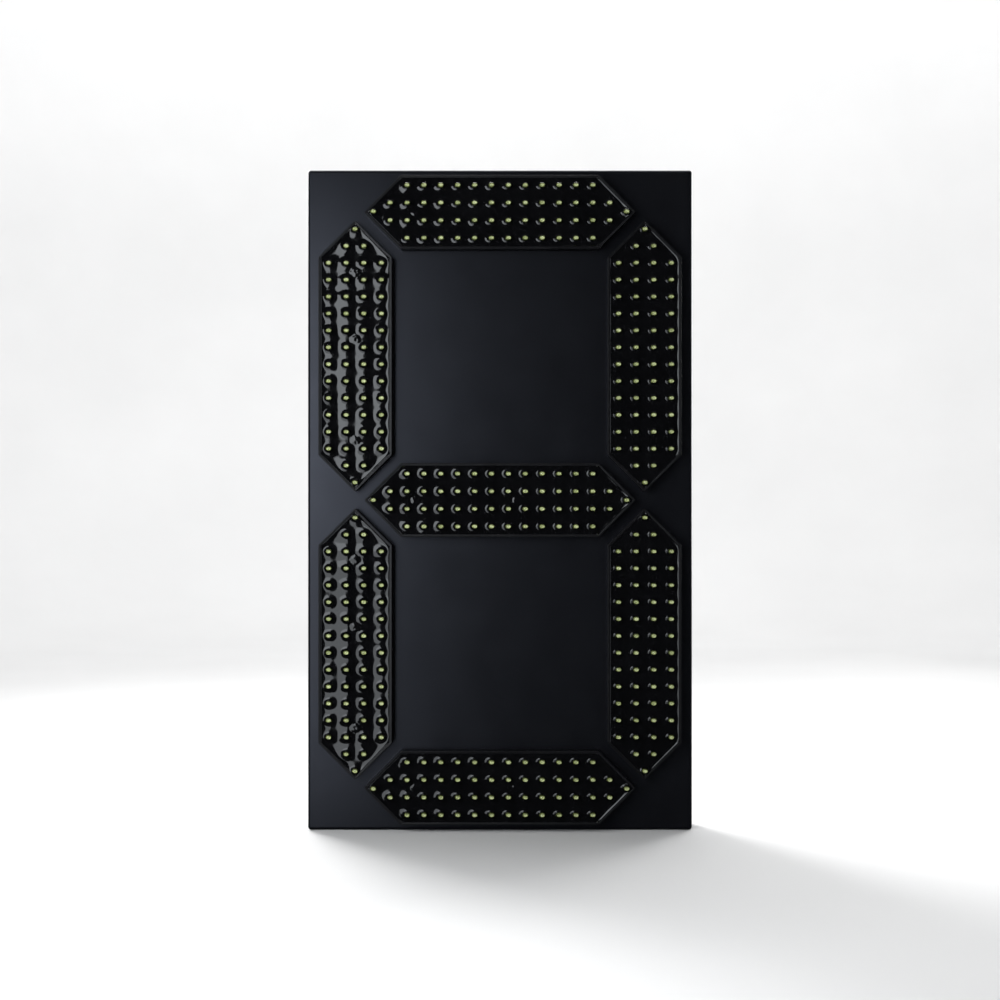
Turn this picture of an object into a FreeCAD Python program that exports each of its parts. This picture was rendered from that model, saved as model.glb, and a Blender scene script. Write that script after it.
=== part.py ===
# Seven-segment LED digit module for a traffic signal or countdown display.
#
# A folded sheet panel carries seven hexagonal trays. Each tray holds a circuit board with
# 54 oval LEDs under potting. A driver board behind the panel switches the seven segments.
#
# Row frame, in millimetres: +X to the viewer's right, +Y to the rear, +Z up. The origin is the
# centre of the rear fixing holes on the seating plane, which is the rear face of the folded lips.
# "Depth" below is the distance in front of that plane, so a point at depth d has Y = -d.
import FreeCAD, Part
import math
import os

import Sketcher
from FreeCAD import Placement, Rotation, Vector

# ---------------------------------------------------------------- driving dimensions

SIZES = [
    # folded panel
    ("panel_width", 276, "overall width of the panel"),
    ("panel_height", 474, "overall height of the panel"),
    ("panel_depth", 24, "front face to seating plane"),
    ("sheet_thickness", 1.2, "steel sheet"),
    ("bend_radius", 2.2, "outer radius of the folds"),
    ("lip_width", 14, "rear lips, from the outer face inwards"),
    ("lip_gap", 1.0, "slot between neighbouring lips"),
    ("fixing_width", 260, "rear fixing holes, across"),
    ("fixing_height", 400, "rear fixing holes, up"),
    ("fixing_hole", 4.5, "diameter, for an M4 screw"),
    # layout of the digit
    ("led_pitch", 12, "LED spacing along a segment"),
    ("row_pitch", 12.5, "spacing of the four LED rows"),
    ("digit_width", 206, "between centre lines of the upright segments"),
    ("digit_height", 205, "between centre lines of neighbouring level segments"),
    # segment trays
    ("tray_length", 193.5, "tip to tip"),
    ("tray_width", 52.5, "across the flats"),
    ("tray_height", 10, "panel face to rim"),
    ("tray_wall", 1.8, "side wall"),
    ("tray_floor", 2, "floor"),
    ("tray_corner", 1.4, "radius of the upright corners"),
    ("rim_round", 0.4, "radius on the rim's outer edge"),
    ("rim_slope", 1.05, "width of the rim's inward slope"),
    ("rim_drop", 0.18, "height of the rim's inward slope"),
    ("pillar_height", 3, "floor to board"),
    ("pillar_width", 7, "diameter of the board pillars"),
    # segment boards and potting
    ("board_thickness", 1.6, "glass-fibre board"),
    ("board_gap", 0.4, "board edge to tray wall"),
    ("potting_thickness", 2.3, "above the board"),
    # LEDs, 5 mm oval
    ("led_width", 5.2, "long axis, level"),
    ("led_breadth", 3.8, "short axis"),
    ("led_end_radius", 1.5, "oval's end arcs"),
    ("led_standoff", 0.9, "board to flange"),
    ("led_flange", 1, "flange thickness"),
    ("led_rim", 0.3, "flange beyond the lens"),
    ("led_tall", 7, "flange underside to top of lens"),
    ("led_dome", 1.35, "rounding of the lens"),
    ("led_leg", 0.5, "square leg"),
    ("leg_pitch", 2.54, "between the legs"),
    ("leg_stub", 1.1, "leg left behind the board"),
    # resistors on the back of the segment boards
    ("chip_length", 3.2, "1206 resistor"),
    ("chip_width", 1.6, "1206 resistor"),
    ("chip_height", 0.6, "1206 resistor"),
    # board screws, 2.9 mm self-tapping
    ("screw_shank", 2.9, "diameter"),
    ("screw_head", 5.5, "diameter"),
    ("screw_head_height", 1.7, "pan head"),
    ("screw_length", 5.6, "under the head"),
    ("screw_recess", 1.8, "across the cross slot"),
    ("recess_width", 0.7, "width of one slot of the cross"),
    # tray bolts, M4, with washer and nut
    ("bolt_shank", 4, "diameter"),
    ("bolt_clearance", 4.3, "hole in panel and tray"),
    ("bolt_head", 7.6, "button head diameter"),
    ("bolt_head_height", 2.1, "button head"),
    ("bolt_socket", 2.5, "hexagon socket, across flats"),
    ("bolt_length", 9, "under the head"),
    ("washer_width", 9, "outer diameter"),
    ("washer_thickness", 0.8, "thickness"),
    ("nut_width", 7, "across flats"),
    ("nut_height", 3.2, "thickness"),
    ("bolt_spread", 72, "between a tray's two bolts"),
    # leads, rubber bushes and saddles
    ("lead_width", 3.2, "diameter of the twin lead"),
    ("lead_bend", 10, "bend behind the bush"),
    ("bush_width", 7, "sleeve through panel and tray"),
    ("bush_flange", 10, "flange diameter"),
    ("bush_flange_height", 1.6, "flange thickness"),
    ("saddle_base", 14, "side of the saddle's foot"),
    ("saddle_foot", 1.2, "foot thickness"),
    ("saddle_ring", 6, "ring's outer diameter"),
    ("saddle_bore", 3.4, "ring's inner diameter"),
    ("saddle_mouth", 1.2, "slot that the lead is pressed through"),
    ("saddle_post", 2.6, "post thickness"),
    ("saddle_length", 8, "along the lead"),
    # driver board
    ("driver_width", 110, "board, across"),
    ("driver_height", 84, "board, up"),
    ("driver_standoff", 8, "panel to driver board"),
    ("driver_hole_width", 98, "between pillar holes, across"),
    ("driver_hole_height", 72, "between pillar holes, up"),
    ("hex_pillar", 5.5, "across flats"),
    ("machine_shank", 3, "M3 screw"),
    ("machine_head", 5.6, "M3 pan head"),
    ("machine_head_height", 2.1, "M3 pan head"),
    ("machine_grip", 5, "thread in the pillar"),
    # segment connectors
    ("socket_width", 8, "along the board's edge"),
    ("socket_length", 8, "into the board"),
    ("socket_height", 6, "above the board"),
    ("socket_wall", 0.9, "wall of the socket"),
    ("socket_spread", 18, "between neighbouring sockets"),
    ("plug_reach", 5, "plug beyond the board's edge"),
    ("latch_width", 2.2, "latch on the plug, slot in the socket"),
    # shrouded ten-way headers
    ("header_length", 20.3, "shroud"),
    ("header_width", 8.9, "shroud"),
    ("header_height", 9, "shroud"),
    ("header_wall", 1.2, "shroud"),
    ("header_floor", 2.4, "shroud"),
    ("header_key", 4.5, "polarising notch"),
    ("pin_pitch", 2.54, "header and chip pins"),
    ("header_pin", 0.64, "square pin"),
    # two-way supply terminal
    ("terminal_length", 10.2, "along the board's edge"),
    ("terminal_depth", 8.2, "into the board"),
    ("terminal_height", 10, "above the board"),
    ("terminal_slope", 1.8, "bevel over the wire entries"),
    ("terminal_pitch", 5.08, "between the two ways"),
    ("entry_width", 3, "wire entry"),
    ("entry_height", 2.6, "wire entry"),
    ("entry_sill", 2, "board to wire entry"),
    ("clamp_screw", 3.6, "terminal screw diameter"),
    ("clamp_length", 4.5, "terminal screw"),
    # dual in-line chips
    ("dip_width", 6.4, "body"),
    ("dip_span", 7.9, "over the pins"),
    ("dip_height", 3.3, "body"),
    ("dip_lift", 0.5, "board to body"),
    ("dip_bevel", 0.45, "body's top edges"),
    ("dip_pin", 1.2, "pin's shoulder"),
    ("dip_sheet", 0.3, "pin's thickness"),
    # switching transistors
    ("case_width", 6.5, "moulded case"),
    ("case_height", 6.1, "moulded case"),
    ("case_thickness", 2.3, "moulded case"),
    ("tab_width", 5.3, "metal tab"),
    ("tab_length", 1.6, "metal tab"),
    ("tab_thickness", 0.9, "metal tab"),
    ("case_pin", 0.7, "pin's width"),
    ("case_pin_length", 1.5, "pin"),
    ("case_pin_pitch", 2.28, "between pins"),
    ("transistor_pitch", 11.5, "between transistors"),
    # smoothing capacitors
    ("can_width", 8, "diameter"),
    ("can_height", 11, "above the board"),
    ("can_groove", 0.5, "depth of the rolled groove"),
    # earth stud
    ("earth_length", 14, "M4 weld stud"),
]

# Which way each segment lies, and where: shares of digit_width and digit_height.
SEGMENTS = {
    "top": (False, 0.0, 1.0),
    "upper_right": (True, 0.5, 0.5),
    "lower_right": (True, 0.5, -0.5),
    "bottom": (False, 0.0, -1.0),
    "lower_left": (True, -0.5, -0.5),
    "upper_left": (True, -0.5, 0.5),
    "middle": (False, 0.0, 0.0),
}
LEDS_IN_ROWS = (12, 14, 14, 12)
TIP_STEPS = 7.5  # a tip LED's distance from the centre, in LED pitches
PILLAR_STEPS = (-5, 1, 5)  # board pillars, in LED pitches
CHIP_STEPS = range(-4, 5)  # resistors, in LED pitches
CHIP_ROWS = (-1, 1)  # resistor rows, in row pitches
SQUARE_ROOT_2 = math.sqrt(2)
DRIVER_LEVEL = -0.5  # the driver board's centre, as a share of digit_height
EARTH_STUD = (-118, -201)  # the earth stud behind the panel, as (x, z)

# Where the driver board's parts sit, as (x, z) from its centre.
ON_DRIVER = {
    "data_headers": [(-22, -17), (8, -17)],
    "power_terminal": (-24, -42),
    "shift_register": (-24, 1),
    "output_driver": (8, 1),
    "smoothing_capacitors": [(36, -7), (36, -19)],
}
TRANSISTOR_LEVEL = 20  # height of the row of transistors over the board's centre
GATE_RESISTOR_LEVEL = 11.5  # height of the row of gate resistors

# Each segment's connector: the edge of the driver board it sits on, as (across, up) signs, and
# how far along that edge it lies from the middle, in socket spreads.
CONNECTORS = {
    "upper_left": (-1, 0, 1.2),
    "lower_left": (-1, 0, 0.2),
    "upper_right": (1, 0, 1.2),
    "lower_right": (1, 0, 0.2),
    "middle": (0, 1, -0.3),
    "top": (0, 1, 1.0),
    "bottom": (0, -1, 0.3),
}

# Points that each lead passes between its bush and its plug, as (x, z), behind the panel.
LEAD_POINTS = {
    "top": [(0, 152), (15, 96), (20, 30), (18, -20)],
    "upper_left": [(-103, 40), (-95, -22), (-90, -66), (-78, -81)],
    "upper_right": [(103, 42), (94, -18), (90, -64), (77, -81)],
    "lower_left": [(-87, -102.5), (-74, -99)],
    "lower_right": [(86, -102.5), (73, -99)],
    "middle": [(0, -20), (-5, -38)],
    "bottom": [(0, -187), (5.5, -168)],
}

# Where the long leads are held: segment, straight run or bend of its lead, share of the way.
SADDLES = [
    ("top", 2, 0.5), ("top", 4, 0.5), ("top", 6, 0.5), ("top", 8, 0.5),
    ("upper_left", 2, 0.4), ("upper_left", 4, 0.5), ("upper_left", 6, 0.5),
    ("upper_right", 2, 0.4), ("upper_right", 4, 0.5), ("upper_right", 6, 0.5),
]

doc = FreeCAD.newDocument("led_digit")
sheet = doc.addObject("Spreadsheet::Sheet", "Sizes")
for row, (alias, value, note) in enumerate(SIZES, 1):
    sheet.set(f"A{row}", alias)
    sheet.set(f"B{row}", str(value))
    sheet.setAlias(f"B{row}", alias)
    sheet.set(f"C{row}", note)
doc.recompute()


class Sizes:
    """Reads the sheet's cells by alias, as plain numbers."""

    def __getattr__(self, alias):
        return float(sheet.get(alias))


size = Sizes()
parts = []  # the sub-parts that are written, in order


def keep(thing, name):
    """Labels a sub-part and puts it on the list of those that are written."""
    thing.Label = name
    parts.append(thing)
    return thing


# ---------------------------------------------------------------- sketches and features


def sketch_on_front(body, name, depth="0"):
    """A sketch on the body's XZ plane, moved forward by an expression. Its normal is -Y."""
    sketch = body.newObject("Sketcher::SketchObject", name)
    plane = next(f for f in body.Origin.OriginFeatures if f.Role == "XZ_Plane")
    sketch.AttachmentSupport = [(plane, "")]
    sketch.MapMode = "FlatFace"
    sketch.setExpression("AttachmentOffset.Base.z", depth)
    return sketch


def bind(sketch, label, kind, *where, to):
    """Adds a dimension to a sketch and binds it to an expression."""
    start = 1.0
    index = sketch.addConstraint(Sketcher.Constraint(kind, *where, start))
    sketch.renameConstraint(index, label)
    sketch.setExpression(f"Constraints.{label}", to)


def add_hexagon(sketch, length, width):
    """A long hexagon with 45 degree ends, centred on the origin."""
    tip, shoulder, side = 90.0, 65.0, 25.0
    corners = [
        (tip, 0), (shoulder, side), (-shoulder, side),
        (-tip, 0), (-shoulder, -side), (shoulder, -side),
    ]
    for here, there in zip(corners, corners[1:] + corners[:1]):
        sketch.addGeometry(Part.LineSegment(Vector(*here, 0), Vector(*there, 0)), False)
    for line in range(6):
        sketch.addConstraint(Sketcher.Constraint("Coincident", line, 2, (line + 1) % 6, 1))
    for line in (0, 3):
        sketch.addConstraint(Sketcher.Constraint("PointOnObject", line, 1, -1))
    sketch.addConstraint(Sketcher.Constraint("Symmetric", 1, 1, 2, 1, -2))
    sketch.addConstraint(Sketcher.Constraint("Symmetric", 1, 1, 5, 1, -1))
    sketch.addConstraint(Sketcher.Constraint("Symmetric", 2, 1, 4, 1, -1))
    bind(sketch, "right_tip", "DistanceX", -1, 1, 0, 1, to=f"({length}) / 2")
    bind(sketch, "left_tip", "DistanceX", 3, 1, -1, 1, to=f"({length}) / 2")
    bind(sketch, "width", "DistanceY", 5, 1, 1, 1, to=width)
    bind(sketch, "end_run", "DistanceX", 1, 1, 0, 1, to=f"({width}) / 2")


def add_rectangle(sketch, width, height):
    """A rectangle centred on the origin."""
    first = sketch.GeometryCount
    corners = [(-20, -10), (20, -10), (20, 10), (-20, 10)]
    for here, there in zip(corners, corners[1:] + corners[:1]):
        sketch.addGeometry(Part.LineSegment(Vector(*here, 0), Vector(*there, 0)), False)
    for side in range(4):
        sketch.addConstraint(
            Sketcher.Constraint("Coincident", first + side, 2, first + (side + 1) % 4, 1)
        )
    for side, way in enumerate(("Horizontal", "Vertical", "Horizontal", "Vertical")):
        sketch.addConstraint(Sketcher.Constraint(way, first + side))
    sketch.addConstraint(Sketcher.Constraint("Symmetric", first, 1, first + 2, 1, -1, 1))
    bind(sketch, "box_width", "DistanceX", first, 1, first, 2, to=width)
    bind(sketch, "box_height", "DistanceY", first + 1, 1, first + 1, 2, to=height)


def add_circle(sketch, diameter, x="0", z="0"):
    """A circle whose centre is placed from the origin."""
    index = sketch.addGeometry(Part.Circle(Vector(1, 1, 0), Vector(0, 0, 1), 1), False)
    bind(sketch, f"across_{index}", "Diameter", index, to=diameter)
    bind(sketch, f"x_{index}", "DistanceX", -1, 1, index, 3, to=x)
    bind(sketch, f"z_{index}", "DistanceY", -1, 1, index, 3, to=z)


def add_slot_box(sketch, left, right, low, high):
    """A rectangle with each side placed from the origin."""
    first = sketch.GeometryCount
    corners = [(1, 1), (2, 1), (2, 2), (1, 2)]
    for here, there in zip(corners, corners[1:] + corners[:1]):
        sketch.addGeometry(Part.LineSegment(Vector(*here, 0), Vector(*there, 0)), False)
    for side in range(4):
        sketch.addConstraint(
            Sketcher.Constraint("Coincident", first + side, 2, first + (side + 1) % 4, 1)
        )
    for side, way in enumerate(("Horizontal", "Vertical", "Horizontal", "Vertical")):
        sketch.addConstraint(Sketcher.Constraint(way, first + side))
    bind(sketch, f"left_{first}", "DistanceX", -1, 1, first, 1, to=left)
    bind(sketch, f"right_{first}", "DistanceX", -1, 1, first, 2, to=right)
    bind(sketch, f"low_{first}", "DistanceY", -1, 1, first, 1, to=low)
    bind(sketch, f"high_{first}", "DistanceY", -1, 1, first + 2, 1, to=high)


def pad(body, sketch, length):
    """Pads a sketch forward."""
    feature = body.newObject("PartDesign::Pad", f"{sketch.Name}_pad")
    feature.Profile = sketch
    feature.setExpression("Length", length)
    sketch.Visibility = False
    doc.recompute()
    return feature


def pocket(body, sketch, depth):
    """Cuts a sketch towards the rear and checks that it took material away."""
    before = body.Shape.Volume
    feature = body.newObject("PartDesign::Pocket", f"{sketch.Name}_pocket")
    feature.Profile = sketch
    feature.setExpression("Length", depth)
    sketch.Visibility = False
    doc.recompute()
    least = 0.1
    if body.Shape.Volume > before - least:
        raise RuntimeError(f"{feature.Name} cut nothing")
    return feature


def fillet(body, radius, chosen):
    """Rounds those edges of the body's tip for which chosen(edge) is true."""
    tip = body.Tip
    names = [f"Edge{i}" for i, e in enumerate(tip.Shape.Edges, 1) if chosen(e)]
    feature = body.newObject("PartDesign::Fillet", f"{body.Name}_round")
    feature.Base = (tip, names)
    feature.setExpression("Radius", radius)
    doc.recompute()
    return feature


def runs_along_y(edge):
    """True for a straight edge parallel to Y."""
    ends = [v.Point for v in edge.Vertexes]
    if len(ends) != 2:
        return False
    gap = ends[1] - ends[0]
    return abs(gap.x) < 1e-6 and abs(gap.z) < 1e-6


def lies_at_depth(edge, depth):
    """True for an edge that lies wholly in the plane at that depth."""
    box = edge.BoundBox
    return abs(box.YMin + depth) < 1e-6 and abs(box.YMax + depth) < 1e-6


# ---------------------------------------------------------------- places


def at(x, z, depth, turn=0.0):
    """A placement in the row frame, turned about Y, in degrees."""
    return Placement(Vector(x, -depth, z), Rotation(Vector(0, 1, 0), turn))


def segment_place(name, depth):
    """Where a segment's own frame lies: its X runs along the segment."""
    upright, share_x, share_z = SEGMENTS[name]
    x, z = share_x * size.digit_width, share_z * size.digit_height
    return at(x, z, depth, -90.0 if upright else 0.0)


def bind_segment_place(thing, name, depth):
    """The same as segment_place, bound to the sheet."""
    upright, share_x, share_z = SEGMENTS[name]
    thing.Placement = segment_place(name, 0)
    thing.setExpression("Placement.Base.x", f"{share_x} * Sizes.digit_width")
    thing.setExpression("Placement.Base.y", f"-({depth})")
    thing.setExpression("Placement.Base.z", f"{share_z} * Sizes.digit_height")


def led_places():
    """The 54 LED positions of one segment, along and across it."""
    places = []
    for row, count in enumerate(LEDS_IN_ROWS):
        across = (row - (len(LEDS_IN_ROWS) - 1) / 2) * size.row_pitch
        for step in range(count):
            places.append(((step - (count - 1) / 2) * size.led_pitch, across))
    for side in (-1, 1):
        places.append((side * TIP_STEPS * size.led_pitch, 0.0))
    return places


def group(name, prototype, placements):
    """One sub-part of separate, identical solids."""
    feature = doc.addObject("Part::Feature", name)
    feature.Shape = Part.makeCompound([prototype.transformed(p.toMatrix()) for p in placements])
    return keep(feature, name)


def box(x, z, depth, width, height, thickness):
    """A block centred on (x, z) whose rear face is at a depth and which reaches forward."""
    corner = Vector(x - width / 2, -(depth + thickness), z - height / 2)
    return Part.makeBox(width, thickness, height, corner)


def rod(x, z, depth, diameter, thickness):
    """A cylinder along Y whose rear face is at a depth and which reaches forward."""
    base = Vector(x, -depth, z)
    return Part.makeCylinder(diameter / 2, thickness, base, Vector(0, -1, 0))


def hex_prism(across_flats, depth, thickness):
    """A hexagonal bar along Y on the origin's axis, from a depth forward."""
    radius = across_flats / math.sqrt(3)
    corners = [
        Vector(radius * math.cos(math.radians(a)), -depth, radius * math.sin(math.radians(a)))
        for a in range(0, 361, 60)
    ]
    return Part.Face(Part.makePolygon(corners)).extrude(Vector(0, -thickness, 0))


# ---------------------------------------------------------------- panel


PANEL_FACE = "Sizes.panel_depth"
PANEL_BACK = "(Sizes.panel_depth - Sizes.sheet_thickness)"
BOARD_REAR = "Sizes.panel_depth + Sizes.tray_floor + Sizes.pillar_height"


def make_panel():
    """The folded sheet: front, four flanges and four rear lips, with its holes."""
    body = doc.addObject("PartDesign::Body", "face_panel")
    outline = sketch_on_front(body, "panel_outline")
    add_rectangle(outline, "Sizes.panel_width", "Sizes.panel_height")
    pad(body, outline, PANEL_FACE)
    fillet(body, "Sizes.bend_radius", runs_along_y)
    front = size.panel_depth
    fillet(body, "Sizes.bend_radius", lambda edge: lies_at_depth(edge, front))

    hollow = sketch_on_front(body, "panel_hollow", PANEL_BACK)
    add_rectangle(
        hollow,
        "Sizes.panel_width - 2 * Sizes.sheet_thickness",
        "Sizes.panel_height - 2 * Sizes.sheet_thickness",
    )
    pocket(body, hollow, f"{PANEL_BACK} - Sizes.sheet_thickness")

    opening = sketch_on_front(body, "lip_opening", "Sizes.sheet_thickness")
    add_rectangle(
        opening,
        "Sizes.panel_width - 2 * Sizes.lip_width",
        "Sizes.panel_height - 2 * Sizes.lip_width",
    )
    pocket(body, opening, "Sizes.sheet_thickness")

    slots = sketch_on_front(body, "lip_slots", "Sizes.sheet_thickness")
    inner = "(Sizes.panel_width / 2 - Sizes.lip_width)"
    reach = "(Sizes.panel_height / 2 - Sizes.sheet_thickness)"
    start = "(Sizes.panel_height / 2 - Sizes.lip_width)"
    for left, right in (
        (f"{inner} - Sizes.lip_gap", inner),
        (f"-{inner}", f"-{inner} + Sizes.lip_gap"),
    ):
        add_slot_box(slots, left, right, start, reach)
        add_slot_box(slots, left, right, f"-{reach}", f"-{start}")
    pocket(body, slots, "Sizes.sheet_thickness")

    fixings = sketch_on_front(body, "fixing_holes", "Sizes.sheet_thickness")
    for side in (-1, 1):
        for level in (-1, 0, 1):
            add_circle(
                fixings,
                "Sizes.fixing_hole",
                f"{side} * Sizes.fixing_width / 2",
                f"{level} * Sizes.fixing_height / 2",
            )
    pocket(body, fixings, "Sizes.sheet_thickness")

    holes = sketch_on_front(body, "tray_holes", PANEL_FACE)
    for upright, share_x, share_z in SEGMENTS.values():
        x = f"{share_x} * Sizes.digit_width"
        z = f"{share_z} * Sizes.digit_height"
        add_circle(holes, "Sizes.bush_width", x, z)
        for side in (-1, 1):
            spread = f" + {side} * Sizes.bolt_spread / 2"
            add_circle(
                holes,
                "Sizes.bolt_clearance",
                x if upright else x + spread,
                z + spread if upright else z,
            )
    pocket(body, holes, "Sizes.sheet_thickness")
    return keep(body, "face_panel")


# ---------------------------------------------------------------- segments


def inset(distance):
    """Length and width of the tray's hexagon with every side moved in by a distance."""
    return (
        f"Sizes.tray_length - 2 * {SQUARE_ROOT_2} * ({distance})",
        f"Sizes.tray_width - 2 * ({distance})",
    )


def make_tray(name):
    """A moulded tray: floor, wall with a sloping rim, three board pillars and its holes."""
    body = doc.addObject("PartDesign::Body", f"tray_{name}")
    outline = sketch_on_front(body, f"outline_{name}")
    add_hexagon(outline, "Sizes.tray_length", "Sizes.tray_width")
    pad(body, outline, "Sizes.tray_height")
    fillet(body, "Sizes.tray_corner", runs_along_y)
    fillet(body, "Sizes.rim_round", lambda edge: lies_at_depth(edge, size.tray_height))

    hollow = sketch_on_front(body, f"hollow_{name}", "Sizes.tray_height")
    add_hexagon(hollow, *inset("Sizes.tray_wall"))
    pocket(body, hollow, "Sizes.tray_height - Sizes.tray_floor")
    slope_rim(body)

    pillars = sketch_on_front(body, f"pillars_{name}", "Sizes.tray_floor")
    for step in PILLAR_STEPS:
        add_circle(pillars, "Sizes.pillar_width", f"{step} * Sizes.led_pitch")
    pad(body, pillars, "Sizes.pillar_height")

    pilots = sketch_on_front(
        body, f"pilots_{name}", "Sizes.tray_floor + Sizes.pillar_height"
    )
    for step in PILLAR_STEPS:
        add_circle(pilots, "Sizes.screw_shank", f"{step} * Sizes.led_pitch")
    pocket(body, pilots, "Sizes.screw_length - Sizes.board_thickness")

    holes = sketch_on_front(body, f"holes_{name}", "Sizes.tray_floor")
    add_circle(holes, "Sizes.bush_width")
    for side in (-1, 1):
        add_circle(holes, "Sizes.bolt_clearance", f"{side} * Sizes.bolt_spread / 2")
    pocket(body, holes, "Sizes.tray_floor")
    bind_segment_place(body, name, PANEL_FACE)
    return keep(body, f"tray_{name}")


def slope_rim(body):
    """Slopes a tray's rim down towards its inner edges."""
    margin = 0.1
    reach_x = size.tray_length / 2 - SQUARE_ROOT_2 * size.tray_wall + margin
    reach_z = size.tray_width / 2 - size.tray_wall + margin

    def is_inner(edge):
        box = edge.BoundBox
        return (
            lies_at_depth(edge, size.tray_height)
            and max(-box.XMin, box.XMax) < reach_x
            and max(-box.ZMin, box.ZMax) < reach_z
        )

    tip = body.Tip
    names = [f"Edge{i}" for i, e in enumerate(tip.Shape.Edges, 1) if is_inner(e)]
    feature = body.newObject("PartDesign::Chamfer", f"{body.Name}_slope")
    feature.Base = (tip, names)
    feature.ChamferType = "Two distances"
    feature.setExpression("Size", "Sizes.rim_slope")
    feature.setExpression("Size2", "Sizes.rim_drop")
    doc.recompute()


def led_outline(widen=0.0):
    """The oval cross-section of an LED: four tangent arcs, long axis along X."""
    end = size.led_end_radius + widen
    half_width = size.led_width / 2 + widen
    half_breadth = size.led_breadth / 2 + widen
    offset = half_width - end
    side = (offset**2 + half_breadth**2 - end**2) / (2 * (half_breadth - end))
    lean = math.atan2(side - half_breadth, offset)  # where end and side arcs meet
    touch_x = offset + end * math.cos(lean)
    touch_z = end * math.sin(lean)
    points = [
        (touch_x, -touch_z), (half_width, 0), (touch_x, touch_z), (0, half_breadth),
        (-touch_x, touch_z), (-half_width, 0), (-touch_x, -touch_z), (0, -half_breadth),
    ]
    knots = [Vector(x, 0, z) for x, z in points]
    arcs = [
        Part.Arc(knots[i], knots[i + 1], knots[(i + 2) % 8]).toShape() for i in range(0, 8, 2)
    ]
    return Part.Face(Part.Wire(arcs))


def led_shape(turn):
    """One LED on its board's front face: flange, lens and two legs that pass through the board."""
    foot = size.led_standoff
    flange = led_outline(size.led_rim)
    flange.translate(Vector(0, -foot, 0))
    flange = flange.extrude(Vector(0, -size.led_flange, 0))
    lens = led_outline()
    lens.translate(Vector(0, -foot, 0))
    lens = lens.extrude(Vector(0, -size.led_tall, 0))
    top = foot + size.led_tall
    lens = lens.makeFillet(size.led_dome, [e for e in lens.Edges if lies_at_depth(e, top)])
    shape = lens.fuse(flange)
    leg = size.led_leg
    behind = size.board_thickness + size.leg_stub
    for side in (-1, 1):
        shape = shape.fuse(
            box(side * size.leg_pitch / 2, 0, -behind, leg, leg, behind + foot)
        )
    shape = shape.removeSplitter()
    shape.rotate(Vector(), Vector(0, 1, 0), -turn)
    return shape


def make_leds(name, board_front):
    """The 54 LEDs of a segment. Their long axis is level on every segment."""
    upright = SEGMENTS[name][0]
    place = segment_place(name, board_front)
    prototype = led_shape(-90.0 if upright else 0.0)
    placements = [
        place.multiply(Placement(Vector(along, 0, across), Rotation()))
        for along, across in led_places()
    ]
    return group(f"leds_{name}", prototype, placements)


def plate_of_hexagon(name, distance, thickness):
    """A hexagonal plate, the tray's outline moved in by a distance."""
    body = doc.addObject("PartDesign::Body", name)
    outline = sketch_on_front(body, f"{name}_outline")
    add_hexagon(outline, *inset(distance))
    pad(body, outline, thickness)
    return body


def cut(name, base, tools):
    """Base less its tools, as a sub-part."""
    tool = doc.addObject("Part::Compound", f"{name}_tools")
    tool.Links = tools
    feature = doc.addObject("Part::Cut", name)
    feature.Base = base
    feature.Tool = tool
    return keep(feature, name)


def make_led_board(name, leds, screws):
    """A segment's circuit board, with a hole for each leg and each screw."""
    blank = plate_of_hexagon(
        f"board_blank_{name}",
        "Sizes.tray_wall + Sizes.board_gap",
        "Sizes.board_thickness",
    )
    bind_segment_place(blank, name, BOARD_REAR)
    return cut(f"led_board_{name}", blank, [leds, screws])


def make_potting(name, leds, screws):
    """The potting that fills a tray above its board, with the LEDs standing in it."""
    blank = plate_of_hexagon(
        f"potting_blank_{name}", "Sizes.tray_wall", "Sizes.potting_thickness"
    )
    bind_segment_place(blank, name, f"{BOARD_REAR} + Sizes.board_thickness")
    return cut(f"potting_{name}", blank, [leds, screws])


def cross_slot(depth):
    """A cross slot in a screw head whose top is at a depth, on the origin's axis."""
    half = size.screw_head_height / 2
    long, thin = size.screw_recess, size.recess_width
    return box(0, 0, depth - half, long, thin, half).fuse(
        box(0, 0, depth - half, thin, long, half)
    )


def pan_screw(head, head_height, shank, length, round_edge):
    """A pan-head screw: head in front of depth 0, shank behind it."""
    top = rod(0, 0, 0, head, head_height)
    edge = [e for e in top.Edges if lies_at_depth(e, head_height)]
    top = top.makeFillet(round_edge, edge)
    slot = cross_slot(head_height)
    return top.cut(slot).fuse(rod(0, 0, -length, shank, length)).removeSplitter()


def make_board_screws(board_front):
    """Three screws hold each board on its tray's pillars."""
    screw = pan_screw(
        size.screw_head,
        size.screw_head_height,
        size.screw_shank,
        size.screw_length,
        size.screw_head_height / 2,
    )
    placements = [
        segment_place(name, board_front).multiply(
            Placement(Vector(step * size.led_pitch, 0, 0), Rotation())
        )
        for name in SEGMENTS
        for step in PILLAR_STEPS
    ]
    return group("board_screws", screw, placements)


def make_resistors(board_rear):
    """The resistors soldered to the backs of the seven segment boards."""
    chip = box(
        0, 0, -size.chip_height, size.chip_length, size.chip_width, size.chip_height
    )
    placements = [
        segment_place(name, board_rear).multiply(
            Placement(Vector(step * size.led_pitch, 0, row * size.row_pitch), Rotation())
        )
        for name in SEGMENTS
        for row in CHIP_ROWS
        for step in CHIP_STEPS
    ]
    return group("ballast_resistors", chip, placements)


def bolt_placements(depth):
    """Two bolts a tray, on its centre line."""
    return [
        segment_place(name, depth).multiply(
            Placement(Vector(side * size.bolt_spread / 2, 0, 0), Rotation())
        )
        for name in SEGMENTS
        for side in (-1, 1)
    ]


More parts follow.
